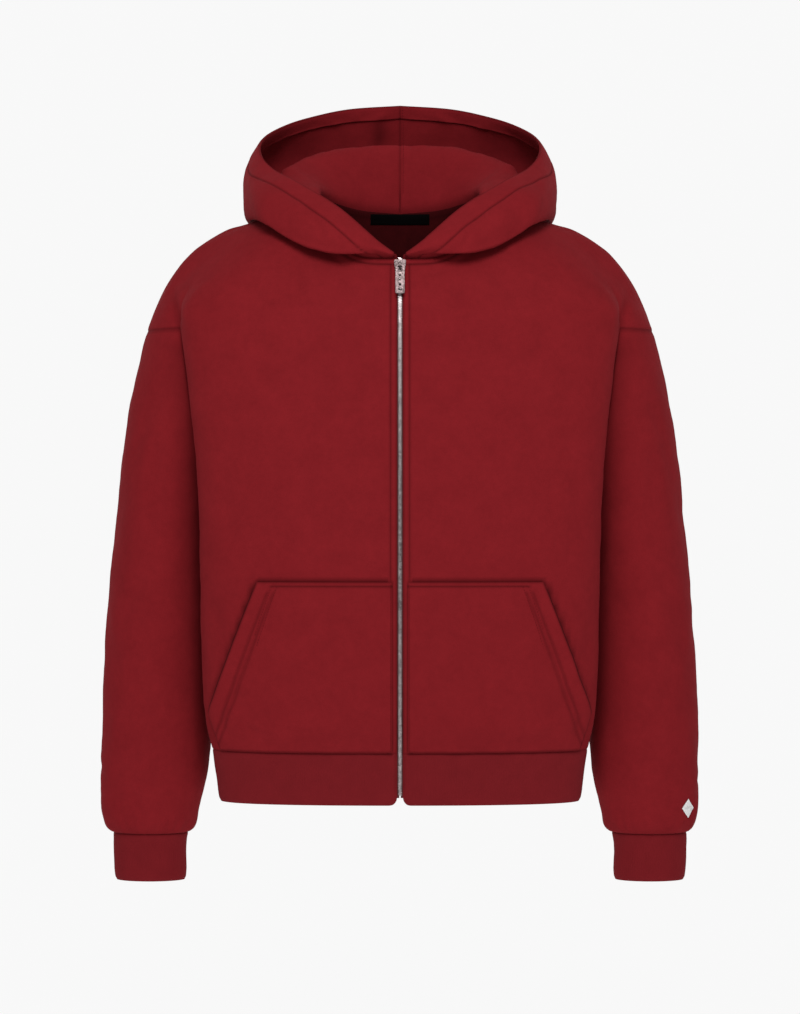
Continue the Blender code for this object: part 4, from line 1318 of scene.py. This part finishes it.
def finer(node, name, width):
    """A zip part's plain form, copied, with its edges rounded."""
    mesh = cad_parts[node].data.copy()
    mesh.name = name
    mesh.materials.clear()
    mesh.materials.append(METAL)
    thing = linked(name, mesh)
    merge = thing.modifiers.new("merge", "WELD")
    merge.merge_threshold = 0.00001
    flat = thing.modifiers.new("flat", "DECIMATE")
    flat.decimate_type = "DISSOLVE"
    flat.angle_limit = np.radians(2)
    round_edges = thing.modifiers.new("round", "BEVEL")
    round_edges.width = width
    round_edges.segments = 3
    round_edges.limit_method = "ANGLE"
    round_edges.angle_limit = np.radians(40)
    done = evaluated_mesh(thing)
    thing.modifiers.clear()
    thing.data = done
    done.shade_smooth()
    done.set_sharp_from_angle(angle=np.radians(35))
    return thing


slider = finer("zip_slider", "slider_metal", SLIDER_BEVEL)
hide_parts("zip_slider")
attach(slider, "garment")
pull = finer("zip_pull", "pull_metal", PULL_BEVEL)
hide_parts("zip_pull")
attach(pull, "pull_tab")


# --- Label and sleeve mark ------------------------------------------------------------------------
# A plain black satin label, folded under at its edges and sewn inside the back of the neck, and a small lozenge
# of white satin stitch on the left sleeve above the cuff.

LABEL_HALF_WIDTH = 34.0
LABEL_LOW = 15.5
LABEL_HIGH = 27.0
LABEL_LIFT = 1.15
LABEL_ROWS = 14
LABEL_COLUMNS = 56
MOTIF = [(321.0, -657.0), (328.0, -646.0), (321.0, -635.0), (314.0, -646.0)]
THREAD_PITCH = 0.52
THREAD_RISE = 0.14

satin = Finish("label_black", Roughness=0.8, Specular_IOR_Level=0.03)
threads = satin.node("ShaderNodeTexWave", {"bands_direction": "Z"}, {"Vector": satin.place(), "Scale": 900.0})
satin.colour(satin.between(threads, (0.0012, 0.0010, 0.0010), (0.003, 0.0026, 0.0026)))
satin.bump(threads, 0.00003, 0.5)


def faces_of(thing):
    """A tree that finds where a straight line meets an object's faces, in metres."""
    mesh = thing.data
    return bvhtree.BVHTree.FromPolygons([v.co for v in mesh.vertices], [p.vertices for p in mesh.polygons])


back_tree = faces_of(back_shell)
label_net = np.zeros((LABEL_ROWS + 1, LABEL_COLUMNS + 1, 3))
for row, height in enumerate(LABEL_LOW + (LABEL_HIGH - LABEL_LOW) * closer(LABEL_ROWS)):
    for column, x in enumerate(LABEL_HALF_WIDTH * (2 * closer(LABEL_COLUMNS) - 1)):
        hit, normal, _, _ = back_tree.ray_cast(Vector((x, 0, height)) * MM, Vector((0, 1, 0)))
        label_net[row, column] = hit / MM + normal * LABEL_LIFT
label_piece = Piece([label_net])
face_out([label_piece])
ripple = 0.25 * np.sin(label_piece.points[:, 0] / 9) * ease(label_piece.from_edge / 3)
label = shell("neck_label_satin", label_piece, satin.material, ripple, 0.8, dip=0.3, roll=0.8)
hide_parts("neck_label")
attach(label, "garment")

motif_tree = faces_of(shells["sleeve_left"])
corners = np.array(MOTIF)
low, high = corners[:, 1].min(), corners[:, 1].max()
middle = corners[:, 0].mean()
half_width = np.ptp(corners[:, 0]) / 2
motif_rows = []
for height in np.linspace(low + 0.5, high - 0.5, int((high - low) / THREAD_PITCH) * 4 + 1):
    reach = half_width * (1 - abs(height - (low + high) / 2) / ((high - low) / 2))
    row = []
    for share in np.linspace(-1, 1, 25):
        start = Vector((middle + share * reach, -200, height)) * MM
        hit, normal, _, _ = motif_tree.ray_cast(start, Vector((0, 1, 0)))
        thread = THREAD_RISE * abs(np.sin(np.pi * (height - low + 0.25 * share) / THREAD_PITCH))
        row.append(hit / MM + normal * (0.9 + thread + 0.5 * (1 - share**4)))
    motif_rows.append(row)
embroidery = Finish("motif_white", Roughness=0.45, Sheen_Weight=0.2)
shade = embroidery.clouds(700, 2)
embroidery.colour(embroidery.between(shade, (0.70, 0.68, 0.68), (0.86, 0.84, 0.84)))
embroidery.bump(embroidery.clouds(2600, 2, (0.2, 1, 1)), 0.00004, 0.6)
motif_piece = Piece([np.array(motif_rows)])
face_out([motif_piece])
motif = shell("sleeve_lozenge", motif_piece, embroidery.material, 0.0, 1.0, dip=0.25, roll=0.5)
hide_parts("sleeve_motif")
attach(motif, "garment")


# --- Stitching ------------------------------------------------------------------------------------
# Cotton thread in the cloth's own red: single rows beside the neck seam and the zip, rows round the pockets
# with two along each opening, one that holds the hood's turned-in edge, and one beside the hood's own seam.

STITCH_PITCH = 3.1
STITCH_HALF_LENGTH = 1.18
STITCH_LIFT = 0.05
BEFORE_FRONT = -130.0
thread_finish = Finish("thread_red", Roughness=0.85, Specular_IOR_Level=0.05)
tone = thread_finish.clouds(800, 2)
thread_finish.colour(thread_finish.between(tone, (0.085, 0.0045, 0.0065), (0.15, 0.008, 0.011)))
thread_finish.bump(thread_finish.clouds(3000, 1), 0.00003, 0.5)


def stitch_tree():
    """Short rounded stitches spaced along lines, each lying along its line."""
    tree, given, result = tree_of("stitches", {"Pitch": "Float", "Half Length": "Float", "Finish": "Material"})
    spaced, facing = spaced_along(tree, given)
    bead = add(tree, "GeometryNodeMeshIcoSphere", Radius=1.0, Subdivisions=1)
    size = add(tree, "ShaderNodeCombineXYZ", X=0.00034, Y=0.00026, Z=given.outputs["Half Length"])
    bead = add(tree, "GeometryNodeTransform", Geometry=bead.outputs[0], Scale=size.outputs[0])
    smooth = add(tree, "GeometryNodeSetShadeSmooth", Geometry=bead.outputs[0])
    return finish_tree(tree, given, result, spaced, smooth.outputs[0], facing)


class Sewing:
    """Lays lines of stitches on the finished face of a piece of cloth, by casting each point on to it."""

    def __init__(self, thing, piece):
        self.face = faces_of(thing)
        self.piece = piece
        self.near = nearest_of(piece.points)

    def lay(self, line, inside=False):
        laid = []
        for point in line:
            out = Vector(self.piece.out[self.near.find(point)[1]]) * (-1 if inside else 1)
            hit = self.face.ray_cast((Vector(point) + out * 9) * MM, -out, 0.02)[0]
            if hit is not None:
                laid.append(np.array(hit / MM + out * STITCH_LIFT))
        return np.array(laid)


def inset(lines, distance):
    """One point on each of some lines, at a distance from its start."""
    wanted = np.broadcast_to(distance, len(lines))
    return np.array([on_line(line, lengths_along(line), far) for line, far in zip(lines, wanted)])


def down_columns(net):
    """A net's columns, each from its last row to its first."""
    return net[::-1].transpose(1, 0, 2)


zip_rows = np.concatenate([half_front[0][:, : NECK_COLUMNS + 1], half_front[1][1:, : NECK_COLUMNS + 1]])
front_neck = inset(down_columns(half_front[1])[: NECK_COLUMNS + 1], TOPSTITCH)
front_zip = inset(zip_rows, TOPSTITCH)
front_zip = front_zip[(front_zip[:, 2] < front_neck[0, 2]) & (front_zip[:, 2] > HEM_SEAM + 3)]
open_front = front_zip[front_zip[:, 2] > POCKET_TOP + 2]
back_neck = inset(down_columns(half_back[1])[-NECK_COLUMNS - 1 :], TOPSTITCH)

heights = np.arange(POCKET_LOW + 3, POCKET_TOP - 4, 1.5)
level = heights * 0 + BEFORE_FRONT
pocket_lines = []
for place in POCKET_STITCHES:
    out = np.interp(POCKET_TOP - heights, *zip(*POCKET_ROWS_EDGE)) - place
    pocket_lines.append(np.stack([out, level, heights], axis=-1)[out < pocket_edge(heights) - 4])
across = np.arange(POCKET_CENTRE + 4, pocket_edge(POCKET_TOP) - POCKET_STITCHES[0] + 1, 2.0)
top_row = np.full(len(across), POCKET_TOP - POCKET_HEM)
pocket_lines.append(np.stack([across, across * 0 + BEFORE_FRONT, top_row], axis=-1))
below = heights[heights < POCKET_EDGE_CORNER]
pocket_lines.append(np.stack([pocket_edge(below) - 3.5, below * 0 + BEFORE_FRONT, below], axis=-1))
pocket_lines.append(front_zip[front_zip[:, 2] < POCKET_TOP - 3])

hood_columns = down_columns(half_hood[0])
hood_hem = inset(hood_columns, hem_width(turns) + 0.2)[4:]
crown = inset(half_hood[0][:, ::-1], 4.0)[3:-3]

runs = []
on_back = Sewing(back_shell, back)
for side, way, front, pocket, hood in (
    ("left", 1, front_left, pocket_left, hood_left),
    ("right", -1, front_right, pocket_right, hood_right),
):
    on_front = Sewing(shells[side], front)
    runs += [on_front.lay(line * (way, 1, 1)) for line in (front_neck, open_front)]
    runs.append(on_back.lay(back_neck * (way, 1, 1)))
    on_pocket = Sewing(shells[f"pocket_{side}"], pocket)
    runs += [on_pocket.lay(line * (way, 1, 1)) for line in pocket_lines]
    on_hood = Sewing(shells[f"hood_{side}"], hood)
    runs += [on_hood.lay(hood_hem * (way, 1, 1)), on_hood.lay(hood_hem * (way, 1, 1), inside=True)]
    if side == "left":
        runs += [on_hood.lay(crown), on_hood.lay(crown, inside=True)]
guide = along_lines("stitch_guide", [run for run in runs if len(run) > 3])
sizes = {"Pitch": STITCH_PITCH * MM, "Half Length": STITCH_HALF_LENGTH * MM, "Finish": thread_finish.material}
stitches = grown(guide, stitch_tree(), "stitches", **sizes)
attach(stitches, "garment")


# --- Floor, light and camera ----------------------------------------------------------------------
# A plain pale sweep well below and behind, soft light from the front and above, and the camera straight in
# front. The sweep gives off its own light, so it stays even and the garment throws no shadow on it.

PALE = (0.93, 0.93, 0.93, 1)
SWEEP_LEVEL = -1.05
SWEEP_BEND = 3.0
SWEEP_START = 6.0
sweep_finish = Finish("sweep_pale", Roughness=1.0, Emission_Color=PALE, Emission_Strength=1.0)
sweep_finish.surface.inputs["Specular IOR Level"].default_value = 0.0
sweep_finish.surface.inputs["Base Color"].default_value = (0.02, 0.02, 0.02, 1)
line = [(y, SWEEP_LEVEL) for y in np.linspace(-4.5, SWEEP_START, 8)]
for t in np.linspace(0.1, np.pi / 2, 10):
    line.append((SWEEP_START + SWEEP_BEND * np.sin(t), SWEEP_LEVEL + SWEEP_BEND * (1 - np.cos(t))))
line += [(SWEEP_START + SWEEP_BEND, z) for z in np.linspace(2.5, 13.0, 5)]
sweep_points = [(x / MM, y / MM, z / MM) for y, z in line for x in (-14, 14)]
sweep_faces = [(2 * k, 2 * k + 1, 2 * k + 3, 2 * k + 2) for k in range(len(line) - 1)]
sweep = mesh_object("sweep", sweep_points, sweep_faces, sweep_finish.material)


def soft_light(name, place, aim, width, power):
    lamp = bpy.data.lights.new(name, "AREA")
    lamp.shape = "SQUARE"
    lamp.size = width
    lamp.energy = power
    thing = linked(name, lamp)
    thing.location = place
    thing.rotation_euler = (Vector(aim) - Vector(place)).to_track_quat("-Z", "Y").to_euler()


soft_light("key_light", (0.0, -2.3, 1.45), (0, 0, -0.25), 1.2, 52)
world = bpy.data.worlds.new("studio")
world.use_nodes = True
studio = world.node_tree
around = studio.nodes["Background"]
around.inputs["Color"].default_value = (1, 1, 1, 1)
around.inputs["Strength"].default_value = 0.30
# The air around is as pale as the sweep where it is seen, and gives the garment a weaker light than that.
seen = studio.nodes.new("ShaderNodeLightPath")
pale = studio.nodes.new("ShaderNodeBackground")
pale.inputs["Color"].default_value = PALE
chosen = studio.nodes.new("ShaderNodeMixShader")
studio.links.new(seen.outputs["Is Camera Ray"], chosen.inputs[0])
studio.links.new(around.outputs[0], chosen.inputs[1])
studio.links.new(pale.outputs[0], chosen.inputs[2])
studio.links.new(chosen.outputs[0], studio.nodes["World Output"].inputs[0])
bpy.context.scene.world = world
bpy.context.scene.view_settings.view_transform = "Standard"

lens = bpy.data.cameras.new("camera")
lens.lens = 101.4
lens.sensor_width = 36
camera = linked("camera", lens)
camera.location = (0, -3.2, -0.310)
camera.rotation_euler = (np.pi / 2, 0, 0)
bpy.context.scene.camera = camera
